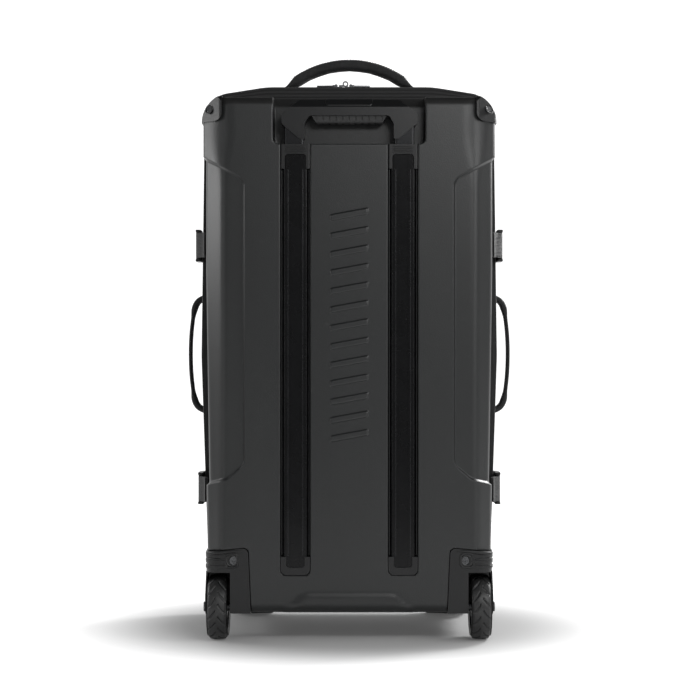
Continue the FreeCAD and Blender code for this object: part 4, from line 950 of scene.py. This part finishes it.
# ---------------------------------------------------------------- telescopic handle
class CASE_OT_trolley(bpy.types.Operator):
    """The telescopic handle: tubes, collars, grip, button and finger insert"""

    bl_idname = "case.trolley"
    bl_label = "Telescopic handle"

    def execute(self, context):
        eased("fixed_tubes", "outer_tubes", "outer_tube_metal", "case", 0.35)
        eased("sliding_tubes", "inner_tubes", "inner_tube_metal", "trolley", 0.3)
        eased("collars", "head_brackets", "trim_plastic", "case", 0.7)
        eased("tube_feet", "foot_brackets", "trim_plastic", "case", 0.7)
        eased("grip_shell", "grip_body", "grip_plastic", "trolley", 1.1)
        eased("grip_insert", "grip_underside", "grip_rubber", "trolley", 0.5)
        eased("thumb_button", "release_button", "grip_plastic", "button", 0.6)
        eased("button_yoke", "release_yoke", "fixing_steel", "button", 0.3)
        keep_nodes("hub_plastic", "lock_plugs")
        keep_nodes("fixing_steel", "lock_bolts")
        springs = eased("button_springs", "yoke_springs", "spring_steel", "trolley", 0.1)
        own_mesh(springs)
        self.collar_ribs()
        return {"FINISHED"}

    def collar_ribs(self):
        """Four raised ribs across each collar above its window: half-round bars with rounded ends."""
        grids = []
        for sign in SIDES.values():
            for level in (687.4, 690.0, 692.6, 695.2):
                path = lined(sign * SLOT_X + np.linspace(-16.0, 16.0, 12), 0.75, level)
                end = np.sqrt(1.0 - np.linspace(-1.0, 1.0, 12) ** 8)[:, None] * 0.9 + 0.1
                grids.append(carried(path, (0, 0, 1), oval(0.75, 0.8, 2.0, 10), end))
        formed("collar_ribs", grids, "trim_plastic", "case", 60.0)


# ---------------------------------------------------------------- soft front half
def soft_half(z):
    """Half the soft half's width at a height."""
    line, _, _ = rounded(SOFT_OUTLINE, 2.0)
    right = line[line[:, 0] > 60.0]
    right = right[np.argsort(right[:, 1])]
    return np.interp(z, right[:, 1], right[:, 0])


def cinched(z):
    """1 between the compression straps and 0 under them."""
    return 1.0 - sum(np.exp(-(((z - level) / 26.0) ** 4)) for level, _ in STRAP_LEVELS.values())


def creases(a, b, seed, size=60.0):
    """Soft creases from -1 to 1: a sum of slanting waves 2|sin|^0.8 - 1 of random heading and phase, which have
    round crests and sharp valleys."""
    random = np.random.default_rng(seed)
    total = np.zeros(np.broadcast(a, b).shape)
    for k in range(7):
        heading, phase = random.uniform(0, np.pi), random.uniform(0, 2 * np.pi)
        wave = np.pi / (size * random.uniform(0.5, 1.5))
        bend = 1.1 * np.sin((a - b) * wave * 0.37 + phase) + 0.5 * np.sin((a + b) * wave * 1.3)
        lines = np.sin((a * np.cos(heading) + b * np.sin(heading)) * wave + phase + bend)
        total += (2.0 * np.abs(lines) ** 0.8 - 1.0) / (1 + 0.35 * k)
    return total / 3.0


def puckers(run, away, pitch=15.0, reach=13.0):
    """Gathers along a seam: waves whose pitch wanders, rising from the seam and dying away as exp(-away / reach)."""
    waves = np.sin(2 * np.pi * run / pitch + 1.9 * np.sin(run / 37.0) + 1.1 * np.sin(run / 17.3))
    return waves * np.exp(-away / reach) * smooth(away, 0.5, 6.0)


def gathers(across, z):
    """Folds that a strap presses into the cloth either side of it, as waves across its length."""
    waves = np.sin(across / 5.6 + 1.6 * np.sin(across / 23.0))
    near = [np.maximum(np.abs(z - level) - STRAP_WIDTH / 2, 0.0) for level, _ in STRAP_LEVELS.values()]
    return waves * sum(np.exp(-gap / 20.0) * smooth(gap, 0.0, 8.0) for gap in near)


def cut_line(step, level, above=True):
    """The soft half's outline above or below a height, and its normals, as one open line that starts on the
    right or the left."""
    line, normals, _ = rounded(SOFT_OUTLINE, step)
    line, normals = line[:-1], normals[:-1]
    shown = line[:, 1] > level if above else line[:, 1] < level
    start = int(np.argmax(shown & ~np.roll(shown, 1)))
    order = np.roll(np.arange(len(line)), -start)
    order = order[: int(shown.sum())]
    return line[order], normals[order]


def tape_section(outer, inner, d0, d1):
    """A closed (offset, depth) section between two offsets and two depths, with small rounded corners."""
    corners = [(outer, d0, 0.5), (outer, d1, 0.5), (inner, d1, 0.5), (inner, d0, 0.5)]
    return rounded(corners, (d1 - d0) / 5)[0]


class CASE_OT_walls(bpy.types.Operator):
    """The padded walls of the soft half, its front panel, piping and the seam to the hard shell"""

    bl_idname = "case.walls"
    bl_label = "Padded walls"

    def execute(self, context):
        self.walls(*rounded(SOFT_OUTLINE, 3.4))
        self.front()
        self.trim(*rounded(SOFT_OUTLINE, 5.0)[:2])
        return {"FINISHED"}

    def walls(self, line, normals, run):
        """One padded band. Across it the outside swells by bulge * sin(pi v)^0.8 between its seams, least on top,
        and is drawn in by the straps; small creases run along it."""
        v = np.linspace(0.0, 1.0, 57)[None]
        z, x = line[:, 1:], line[:, :1]
        start = 122.0 - 13.2 * (1.0 - smooth(z, ZIP_END - 1.0, ZIP_END + 1.0))
        d = start + (WALL_END - start) * v
        flat_side = smooth(np.abs(normals[:, :1]), 0.3, 0.9)
        bulge = sizes().wall_bulge * (0.28 + 0.72 * flat_side * cinched(z))
        away = np.minimum(v, 1.0 - v) * (WALL_END - start)
        along = run[:, None] + 0.0 * v
        out = bulge * np.sin(np.pi * v) ** 0.8 + 0.8 * creases(along, d, 4) * np.sin(np.pi * v) * cinched(z)
        out = out + 0.55 * puckers(along, away) + 0.6 * gathers(d, z) * np.sin(np.pi * v) * flat_side
        out = np.where(z < 45.0, out * 0.3, out) - 0.25
        outside = np.stack([out, d], axis=-1)
        back = (WALL_END + (start - WALL_END) * v)[..., None]
        inside = np.concatenate([np.full_like(back, -5.9), back], axis=-1)[:, ::8]
        profile = np.concatenate([outside, inside, outside[:, :1]], axis=1)
        profile[-1] = profile[0]  # the creases don't repeat along the outline, so its ends are made to meet
        nodes = ("top_panel", "bottom_panel", "side_panel_left", "side_panel_right")
        made = formed("padded_walls", [girdled(line, normals, profile)], "black_fabric", "lid", 50.0, nodes)

    def front(self):
        """The front panel: rows cut across the outline. Its face swells by crown * (1 - r^4) between the straps,
        where r is how near a point is to the outline, and dips along them."""
        z = stops((43.0, 53.0, 1.5), (56.0, 770.0, 4.0), (774.0, 789.0, 1.8))[:, None]
        share = np.sin(np.linspace(-1.0, 1.0, 121) * np.pi / 2)[None]
        half = soft_half(z) - 2.0
        x = half * share
        from_side, from_end = half - np.abs(x), np.minimum(z - 43.0, 789.0 - z)
        edge = np.minimum(from_side, from_end)
        crown = sizes().front_crown * smooth(edge, 0.0, 60.0) * cinched(z)
        d = FRONT_FACE - 3.0 * (1.0 - smooth(edge, -1.0, 7.0)) + crown
        along = np.where(from_side < from_end, z, x)
        d = d + 1.1 * creases(x, z, 9, 90.0) * smooth(edge, 0.0, 30.0) * cinched(z)
        d = d + 0.6 * puckers(along, edge) + 0.9 * gathers(x, z) * smooth(edge, 4.0, 20.0)
        grids = boxed(placed(x, d, z), placed(x, WALL_END + 0.1, z))
        formed("front_cloth", grids, "black_fabric", "lid", 50.0, ("front_panel",))

    def trim(self, line, normals):
        """Piping, binding, tapes and hinge strip: sections carried round the outline."""
        radius = sizes().piping
        bead = oval(radius, radius, 2.0, 12)
        upper, upper_normals = cut_line(5.0, ZIP_END)
        grids = [
            girdled(line, normals, bead + (-0.6, 299.6)),
            girdled(upper, upper_normals, bead * 0.7 + (0.0, 125.2), True),
        ]
        formed("piping", grids, "webbing", "lid", 70.0)
        # the binding lies on the shell's wall and reaches out to the soft half's outline
        roll = np.linspace(0.0, 1.0, 9)
        section = np.stack([0.9 * np.sin(np.pi * roll) - 0.4, 88.05 + 6.0 * roll], axis=-1)
        outer = np.broadcast_to(section, (len(line), *section.shape))
        inner = outer[:, ::-4].copy()
        inner[..., 0] = ((self.shell_side(line) - line) * normals).sum(axis=1)[:, None] - 2.4
        profile = np.concatenate([outer, inner, outer[:, :1]], axis=1)
        formed("rim_binding", [girdled(line, normals, profile)], "webbing", "case", 60.0, ("seam_binding",))
        for name, ends, node, body in (
            ("tape_rear", (93.6, 106.6), "main_zipper_rear", "case"),
            ("tape_front", (109.4, 122.4), "main_zipper_front", "lid"),
        ):
            tape = girdled(upper, upper_normals, tape_section(-1.0, -2.3, *ends), True)
            formed(name, [tape], "zipper_fabric", body, 60.0, (node,))
        lower, lower_normals = cut_line(3.0, ZIP_END + 1.0, above=False)
        ends = np.linspace(93.6, 112.0, 10)
        sag = -0.45 - 1.2 * np.sin(np.pi * np.linspace(0.0, 1.0, 10)) ** 2
        profile = np.concatenate([np.stack([sag, ends], axis=1), np.stack([sag - 1.5, ends], axis=1)[::-1]])
        profile = np.concatenate([profile, profile[:1]])
        cloth = girdled(lower, lower_normals, profile, True)
        hinge = formed("hinge_cloth", [cloth], "black_fabric", None, 60.0, ("hinge_strip",))
        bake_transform(hinge)
        self.coil(upper, upper_normals)
        flat = upper - upper_normals * 0.95
        out = lined(upper_normals[:, 0], 0.0, upper_normals[:, 1])
        stitched("tape_stitches_rear", [(lined(flat[:, 0], 96.2, flat[:, 1]), out)], "case")
        stitched("tape_stitches_front", [(lined(flat[:, 0], 119.4, flat[:, 1]), out)], "lid")
        keep_nodes("spring_steel", "rim_frame")

    def shell_side(self, line):
        """The point of the shell's outline nearest each point of the soft outline."""
        right = [
            (SHELL_HALF_LOW, SHELL_BOTTOM, CORNER_BOTTOM),
            (SHELL_HALF, SHELL_WAIST, 300.0),
            (SHELL_HALF, SHELL_TOP, CORNER_TOP),
        ]
        left = [(-x, z, radius) for x, z, radius in right]
        shell, _, _ = rounded([left[0], *right, *left[:0:-1]], 2.0)
        return shell[((line[:, None] - shell[None]) ** 2).sum(axis=-1).argmin(axis=1)]

    def coil(self, line, normals):
        """The zipper's teeth: slanting capsules along each half of the coil, half a pitch apart."""
        run, pitch = distances(line), sizes().tooth_pitch
        for name, body, way in (("coil_rear", "case", -1.0), ("coil_front", "lid", 1.0)):
            at = np.arange(pitch * (0.6 + 0.25 * way), run[-1] - pitch / 2, pitch)
            n = read_off(at, run, normals)
            n /= np.linalg.norm(n, axis=1, keepdims=True)
            x, z = (read_off(at, run, line) - n * 0.5).T
            tangent = lined(-n[:, 1], 0.0, n[:, 0])
            ahead = tangent * 0.22 + np.array([0.0, 0.975, 0.0])
            places = lined(x, ZIP_DEPTH + way * 1.7, z)
            points, faces = beads(places, ahead, lined(n[:, 0], 0.0, n[:, 1]), (3.2, 1.5, 1.9))
            piece(name, mesh_of(name, in_metres(points), faces), "zipper_fabric", body, 75.0)


class CASE_OT_pockets(bpy.types.Operator):
    """The two patch pockets with their zippers, sliders and pulls"""

    bl_idname = "case.pockets"
    bl_label = "Front pockets"

    def execute(self, context):
        for name, (half, z0, z1, front) in POCKETS.items():
            self.pocket(name, half, z0, z1, front)
            eased(f"{name}_pocket_pull", f"{name}_pocket_slider", "slider_metal", f"pocket_slider_{name}", 0.4)
        self.zippers()
        return {"FINISHED"}

    def pocket(self, name, half, z0, z1, front):
        """A stuffed patch pocket. Its face rises from the panel by sqrt(1 - (1 - e)^2) over its gusset, where e is
        the distance in from its seam, then crowns like 1 - r^2; creases gather at its corners."""
        radius, gusset = POCKET_CORNER, 13.0
        z = stops((z0, z0 + 22.0, 1.5), (z0 + 22.0, z1 - 30.0, 3.4), (z1 - 30.0, z1, 1.5))[:, None]
        into = np.maximum(radius - np.minimum(z - z0, z1 - z), 0.0)
        side = half - radius + np.sqrt(np.maximum(radius**2 - into**2, 0.0))
        x = side * np.sin(np.linspace(-1.0, 1.0, 121) * np.pi / 2)[None]
        a, b = half - radius - np.abs(x), (z1 - z0) / 2 - radius - np.abs(z - (z0 + z1) / 2)
        turn = radius - np.hypot(np.minimum(a, 0), np.minimum(b, 0))
        edge = np.maximum(np.where((a < 0) & (b < 0), turn, np.minimum(a, b) + radius), 0.0)
        rise = np.sqrt(1.0 - (1.0 - np.clip(edge / gusset, 0.0, 1.0)) ** 2)
        below = smooth(z1 - 34.0 - z, 0.0, 50.0)
        crown = sizes().pocket_crown * smooth(edge, 10.0, 80.0) * below - 0.8 * smooth(40.0 - edge, 0.0, 25.0)
        fold = creases(x, z, len(name), 70.0) * smooth(edge, 2.0, 22.0)
        seam = 1.4 * np.exp(-(((edge - 16.0) / 2.2) ** 2))
        along = np.where(a < b, z, x)
        d = FRONT_FACE + 0.2 + (front - FRONT_FACE - 0.3) * rise + crown
        d = d + 1.2 * fold * (0.35 + 0.65 * below) - seam
        d = d + 0.7 * puckers(along, np.maximum(edge - 16.0, 0.0), 17.0, 16.0)
        # the cloth lies flat under the zipper
        strip = np.exp(-(((z - (z1 - POCKET_ZIP)) / 8.5) ** 4)) * smooth(half - 20.0 - np.abs(x), 0.0, 6.0)
        d = d * (1 - strip) + (front - 0.25) * strip
        grids = boxed(placed(x, d, z), placed(x, FRONT_FACE - 0.5, z))
        made = formed(f"{name}_pocket_cloth", grids, "panel_fabric", "lid", 60.0, (f"{name}_pocket",))

    def zippers(self):
        """A tape with a coil and stitches either side over each pocket's mouth, and bound seams round the pockets."""
        grids, lines, points, faces = [], [], [], []
        for half, z0, z1, front in POCKETS.values():
            mouth = z1 - POCKET_ZIP
            path = lined(np.linspace(-half + 24, half - 24, 60), front + 0.25, mouth)
            grids.append(carried(path, (0, 0, 1), oval(7.0, 0.5, 6.0, 16)))
            lines += [(path * (1, 1, 0) + (0, 0.55, z), (0, 1, 0)) for z in (mouth - 6.0, mouth + 6.0)]
            at = np.arange(-half + 28, half - 28, sizes().tooth_pitch * 0.85)
            places = lined(at, front + 0.9, mouth)
            ahead, out = (np.broadcast_to(way, places.shape) for way in ([0.2, 0.0, 0.98], [0.0, 1.0, 0.0]))
            teeth, sides = beads(places, ahead, out, (4.6, 1.4, 1.5))
            faces += [[k + sum(map(len, points)) for k in face] for face in sides]
            points.append(teeth)
            seam, normals, _ = rounded(squared(-half, half, z0, z1, POCKET_CORNER), 4.0)
            grids.append(girdled(seam, normals, oval(1.5, 1.5, 2.0, 10) + (-0.3, FRONT_FACE + 1.1)))
        formed("pocket_tapes", grids, "zipper_fabric", "lid", 70.0, ("pocket_zippers",))
        coils = mesh_of("pocket_coils", in_metres(np.concatenate(points)), faces)
        piece("pocket_coils", coils, "zipper_fabric", "lid", 75.0)
        stitched("pocket_stitches", lines, "lid")


class CASE_OT_straps(bpy.types.Operator):
    """The compression straps, their side-release buckles and tails, and the webbing that holds the sockets"""

    bl_idname = "case.straps"
    bl_label = "Straps and buckles"

    def execute(self, context):
        band = oval(STRAP_WIDTH / 2, 0.8, 12.0, 28)
        grids = []
        for z, half in STRAP_LEVELS.values():
            x, front = half + 0.8, FRONT_FACE + 1.3
            turn = [(x, 134.0), (x, 200.0), (x, 270.0), (x, front - 5.0), (x - 0.6, front - 0.6), (x - 5.0, front)]
            side = np.array([*turn, (x * 0.5, front), (0.0, front)])
            path = np.concatenate([side * (-1, 1), side[-2::-1]])
            path = eased_line(lined(path[:, 0], path[:, 1], z), 190)
            grids.append(carried(path, (0, 0, 1), band))
        formed("compression_webbing", grids, "webbing", "lid", 60.0, ("compression_straps",))
        tabs = []
        for side, sign in SIDES.items():
            for level, x0 in BUCKLE_INNER.items():
                self.plug(side, sign, level, x0)
                z = STRAP_LEVELS[level][0]
                shell = shell_half(np.array([z]))[0] + 3.4
                low, high = x0 + 1.2, x0 + 6.0
                inner = [(shell - 2.0, 49.0), (shell - 1.6, 60.0), (low + 0.6, 76.0), (low, 82.0)]
                outer = [(x0 + 3.6, 84.6), (high, 82.0), (high, 77.0), (shell + 1.6, 62.0), (shell + 0.4, 52.0)]
                path = [(sign * a, d, z) for a, d in inner + outer]
                tabs.append(carried(eased_line(path, 40), (0, 0, 1), oval(17.8, 0.75, 12.0, 24)))
        formed("socket_webbing", tabs, "webbing", "case", 60.0, ("socket_tabs",))
        eased("sockets", "buckle_sockets", "buckle_plastic", "case", 1.0)
        return {"FINISHED"}

    def plug(self, side, sign, level, x0):
        """A plug from its CAD shape, and its tail: webbing that waves a little and ends in a folded hem."""
        node, body = f"buckle_plug_{level}_{side}", f"plug_{level}_{side}"
        eased(f"plug_{level}_{side}", node, "buckle_plastic", body, 0.9, lambda x, d, z: d < 136.1)
        z = STRAP_LEVELS[level][0]
        d = np.linspace(136.3, 196.0, 30)
        lift = 0.5 * np.sin((d - 136.0) / 60.0 * np.pi)
        path = lined(sign * (x0 + 3.4 + lift), d, z)
        thick = np.stack([np.ones(30), 1.0 + smooth(d, 184.0, 186.0)], axis=1)
        grid = carried(path, (0, 0, 1), oval(18.0, 0.75, 12.0, 24), thick)
        formed(f"tail_{level}_{side}", [grid], "webbing", body, 60.0, (node,))


class CASE_OT_handles(bpy.types.Operator):
    """The padded top handle and the two side handles, each one strip that bends where it is sewn down"""

    bl_idname = "case.handles"
    bl_label = "Carry handles"

    def execute(self, context):
        self.top()
        for side, sign in SIDES.items():
            self.side(side, sign)
        return {"FINISHED"}

    def top(self):
        """An arch: its middle line follows a circle, then leaves it for the panel; its section thins to webbing."""
        radius, centre, depth = 138.0, 694.0, 150.0
        turn = np.radians(np.linspace(-37.0, 37.0, 41))
        arc = np.stack([radius * np.sin(turn), centre + radius * np.cos(turn)], axis=1)
        left = np.array([(-113.0, 792.2), (-105.0, 793.2), (-96.0, 796.2)])
        line = eased_line(np.concatenate([left, arc[2:-2], (left * (-1, 1))[::-1]]), 110)
        path = lined(line[:, 0], depth, line[:, 1])
        full = smooth(96.0 - np.abs(line[:, 0]), 0.0, 22.0)
        pad = 1.0 - 0.05 * np.cos(line[:, 0] / radius * 14.0) ** 12
        scale = np.stack([0.80 + 0.20 * full, (0.22 + 0.78 * full) * pad], axis=1)
        grid = carried(path, (0, 1, 0), oval(15.0, 7.9, 3.2, 32), scale)
        made = formed("carry_handle", [grid], "black_fabric", None, 60.0, ("top_handle", "handle_tabs"))
        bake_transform(made)
        rows = []
        for way in (-1.0, 1.0):
            inner = line[full > 0.6]
            points = lined(inner[:, 0], depth + way * 10.5, inner[:, 1])
            out = lined(inner[:, 0], 0.0, inner[:, 1] - centre)
            out /= np.linalg.norm(out, axis=1, keepdims=True)
            rows.append((points + out * 7.1, out))
        stitched("carry_handle_stitches", rows, "top_handle_body")

    def side(self, side, sign):
        """A bowed strap with thick sewn ends."""
        half = [(213.2, 84.5), (220.0, 82.6), (227.0, 77.5), (231.2, 68.0), (233.2, 56.0), (236.2, 30.0), (237.2, 0.0)]
        line = eased_line(np.concatenate([half, (np.array(half) * (1, -1))[-2::-1]]), 90)
        path = lined(sign * line[:, 0], HANDLE_DEPTH, HANDLE_LEVEL + line[:, 1])
        ends = smooth(np.abs(line[:, 1]), 52.0, 70.0)
        scale = np.stack([1.0 + 0.10 * ends, 1.0 + 0.75 * ends], axis=1)
        grid = carried(path, (0, 1, 0), oval(13.0, 2.5, 4.0, 28), scale)
        made = formed(f"side_grab_{side}", [grid], "webbing", None, 60.0, (f"side_handle_{side}",))
        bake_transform(made)


class CASE_OT_hardware(bpy.types.Operator):
    """The zipper sliders and pulls, the feet and their screws"""

    bl_idname = "case.hardware"
    bl_label = "Sliders and feet"

    def execute(self, context):
        for side in SIDES:
            eased(f"slider_{side}", f"zipper_slider_{side}", "slider_metal", f"slider_{side}", 0.35)
            eased(f"pull_{side}", f"zipper_pull_{side}", "slider_metal", f"pull_{side}", 0.5)
        feet = eased("stand_feet", "front_feet", "trim_plastic", "lid", 1.4)
        # the feet slope up towards the wheels, so that they don't catch when the case is tipped
        corners = np.empty(len(feet.data.vertices) * 3)
        feet.data.vertices.foreach_get("co", corners)
        corners = corners.reshape(-1, 3)
        slope = np.clip((272.0 - (corners[:, 1] - REAR) / MM) / 28.0, 0.0, 1.0) * 20.0 * MM
        corners[:, 2] = np.maximum(corners[:, 2], slope)
        feet.data.vertices.foreach_set("co", corners.ravel())
        feet.data.update()
        keep_nodes("fixing_steel", "foot_screws")
        return {"FINISHED"}


class CASE_OT_inside(bpy.types.Operator):
    """The board behind the lining and the packing straps"""

    bl_idname = "case.inside"
    bl_label = "Inside"

    def execute(self, context):
        x, z = np.meshgrid(np.linspace(-193.0, 193.0, 60), np.linspace(139.0, 755.0, 90))
        quilt = 0.45 * np.abs(np.sin(x * np.pi / 64.4) * np.sin(z * np.pi / 61.6)) ** 0.5
        grids = boxed(placed(x, 38.4 + quilt, z), placed(x, 36.1, z))
        formed("lining_board", grids, "lining_fabric", "case", 60.0, ("back_lining",))
        grids = []
        for level in (290.0, 540.0):
            path = lined(np.linspace(-188.0, 188.0, 60), 39.9, level)
            grids.append(carried(path, (0, 0, 1), oval(12.5, 0.7, 10.0, 20)))
        formed("packing_webbing", grids, "webbing", "case", 60.0, ("packing_straps",))
        above = lambda x, d, z: d > 40.52
        eased("packing_buckles", "packing_straps", "buckle_plastic", "case", 1.0, above, replaces=False)
        return {"FINISHED"}


# ---------------------------------------------------------------- stage
class CASE_OT_stage(bpy.types.Operator):
    """A pale seamless floor, four softboxes and the camera"""

    bl_idname = "case.stage"
    bl_label = "Stage"

    def execute(self, context):
        scene, setup = bpy.context.scene, bpy.context.scene.case_stage
        scene.view_settings.view_transform = "Standard"
        self.floor()
        # each softbox: its place, the point it faces, its width and height, and its power
        self.softbox("key", (-1.5, 0.0, 0.8), (-0.2, -0.1, 0.62), (0.7, 0.35), setup.key)
        self.softbox("fill", (1.5, -0.9, 1.15), (0.0, 0.0, 0.6), (0.6, 0.9), setup.fill)
        self.softbox("top", (1.7, 1.3, 1.5), (0.0, 0.1, 0.45), (0.7, 0.7), setup.top)
        self.softbox("strip_left", (-1.35, -1.2, 0.6), (0.0, 0.0, 0.5), (0.12, 1.0), setup.strips)
        self.softbox("strip_right", (1.35, -1.2, 0.6), (0.0, 0.0, 0.5), (0.12, 1.0), setup.strips)
        self.softbox("front", (0.6, -1.6, 1.15), (0.0, -0.15, 0.6), (0.8, 0.3), setup.front)
        world = bpy.data.worlds.new("Studio") if scene.world is None else scene.world
        scene.world = world
        world.use_nodes = True
        background = world.node_tree.nodes["Background"]
        background.inputs["Color"].default_value = (1.0, 1.0, 1.0, 1.0)
        background.inputs["Strength"].default_value = 0.05
        camera = bpy.data.cameras.new("Camera")
        camera.lens, camera.sensor_width = setup.lens, 36.0
        camera.clip_end = 50.0
        seat = bpy.data.objects.new("Camera", camera)
        scene.collection.objects.link(seat)
        seat.location = (0.0011, REAR - setup.distance, 0.41)
        seat.rotation_euler = (math.pi / 2, 0.0, 0.0)
        scene.camera = seat
        return {"FINISHED"}

    def floor(self):
        """A round floor that curves up into a wall, as a profile turned about the middle. It glows softly, less
        on the wall behind the camera, and its glow is dimmed to near black under the case as a painted shadow."""
        turn = np.linspace(0.0, np.pi / 2, 16)
        flat, cove, wall_top = 3.6, 1.6, 6.0
        radius = np.concatenate([np.linspace(0.0, flat, 13), flat + cove * np.sin(turn[1:]), [flat + cove]])
        rise = np.concatenate([np.zeros(13), cove * (1.0 - np.cos(turn[1:])), [wall_top]])
        angle = np.linspace(0.0, 2 * np.pi, 97)[:, None]
        grid = lined(radius * np.cos(angle), radius * np.sin(angle), rise)
        mesh = mesh_of("floor", grid.reshape(-1, 3), quads(*grid.shape[:2]))
        mesh.flip_normals()
        mesh.shade_smooth()
        made = bpy.data.objects.new("floor", mesh)
        bpy.context.scene.collection.objects.link(made)
        s = Shader("floor_paper")
        x, y, z = s.parts(s.place())
        # painted shadow: the floor's glow falls to near black in an oval round the case's footprint
        away = s.math("SQRT", (x / 0.29) ** 2.0 + (y / 0.25) ** 2.0)
        past_painted_shadow = s.ramp(away, 0.75, 1.7)
        behind = s.ramp(s.math("ABSOLUTE", x) * 0.9 - y + z * 0.2, 0.95, 2.4)
        glow = s.mixed(past_painted_shadow, (0.06, 0.06, 0.06), (0.95, 0.95, 0.95))
        glow = s.mixed(behind, glow, (0.14, 0.14, 0.14))
        grain = s.noise(6.0, 3.0)
        s.feed(s.surface.inputs["Emission Color"], glow)
        made.data.materials.append(s.finish((0.4, 0.4, 0.4), 0.8 + grain * 0.1, None, Emission_Strength=1.0))

    def softbox(self, name, place, target, size, power):
        """An area light turned to face a point, unseen by the camera."""
        light = bpy.data.lights.new(name, "AREA")
        light.shape, light.size, light.size_y, light.energy = "RECTANGLE", *size, power
        lamp = bpy.data.objects.new(name, light)
        bpy.context.scene.collection.objects.link(lamp)
        lamp.location = place
        lamp.visible_camera = False
        away = np.array(target) - np.array(place)
        flat = math.hypot(away[0], away[1])
        lamp.rotation_euler = (math.atan2(flat, -away[2]), 0.0, math.atan2(away[1], away[0]) - math.pi / 2)


# ---------------------------------------------------------------- panel and run
PIECE_OPERATORS = (
    CASE_OT_shell,
    CASE_OT_wheels,
    CASE_OT_trolley,
    CASE_OT_walls,
    CASE_OT_pockets,
    CASE_OT_straps,
    CASE_OT_handles,
    CASE_OT_hardware,
    CASE_OT_inside,
    CASE_OT_stage,
)


class CASE_PT_panel(bpy.types.Panel):
    """Lists the case's pieces, sizes and colours"""

    bl_idname = "CASE_PT_panel"
    bl_label = "Wheeled Equipment Case"
    bl_space_type = "VIEW_3D"
    bl_region_type = "UI"
    bl_category = "Case"

    def draw(self, context):
        for operator in PIECE_OPERATORS:
            self.layout.operator(operator.bl_idname)
        for group in (context.scene.case_sizes, context.scene.case_colours, context.scene.case_stage):
            box = self.layout.box()
            for name in group.bl_rna.properties.keys():
                if name not in ("rna_type", "name"):
                    box.prop(group, name)


CLASSES = (CASE_PG_sizes, CASE_PG_colours, CASE_PG_stage, *PIECE_OPERATORS, CASE_PT_panel)


def register():
    for cls in CLASSES:
        bpy.utils.register_class(cls)
    bpy.types.Scene.case_sizes = bpy.props.PointerProperty(type=CASE_PG_sizes)
    bpy.types.Scene.case_colours = bpy.props.PointerProperty(type=CASE_PG_colours)
    bpy.types.Scene.case_stage = bpy.props.PointerProperty(type=CASE_PG_stage)


def unregister():
    for name in ("case_sizes", "case_colours", "case_stage"):
        delattr(bpy.types.Scene, name)
    for cls in reversed(CLASSES):
        bpy.utils.unregister_class(cls)


def main():
    register()
    for operator in PIECE_OPERATORS:
        group, name = operator.bl_idname.split(".")
        if "FINISHED" not in getattr(getattr(bpy.ops, group), name)():
            raise RuntimeError(f"{operator.bl_idname} did not finish")


if __name__ == "__main__":
    main()
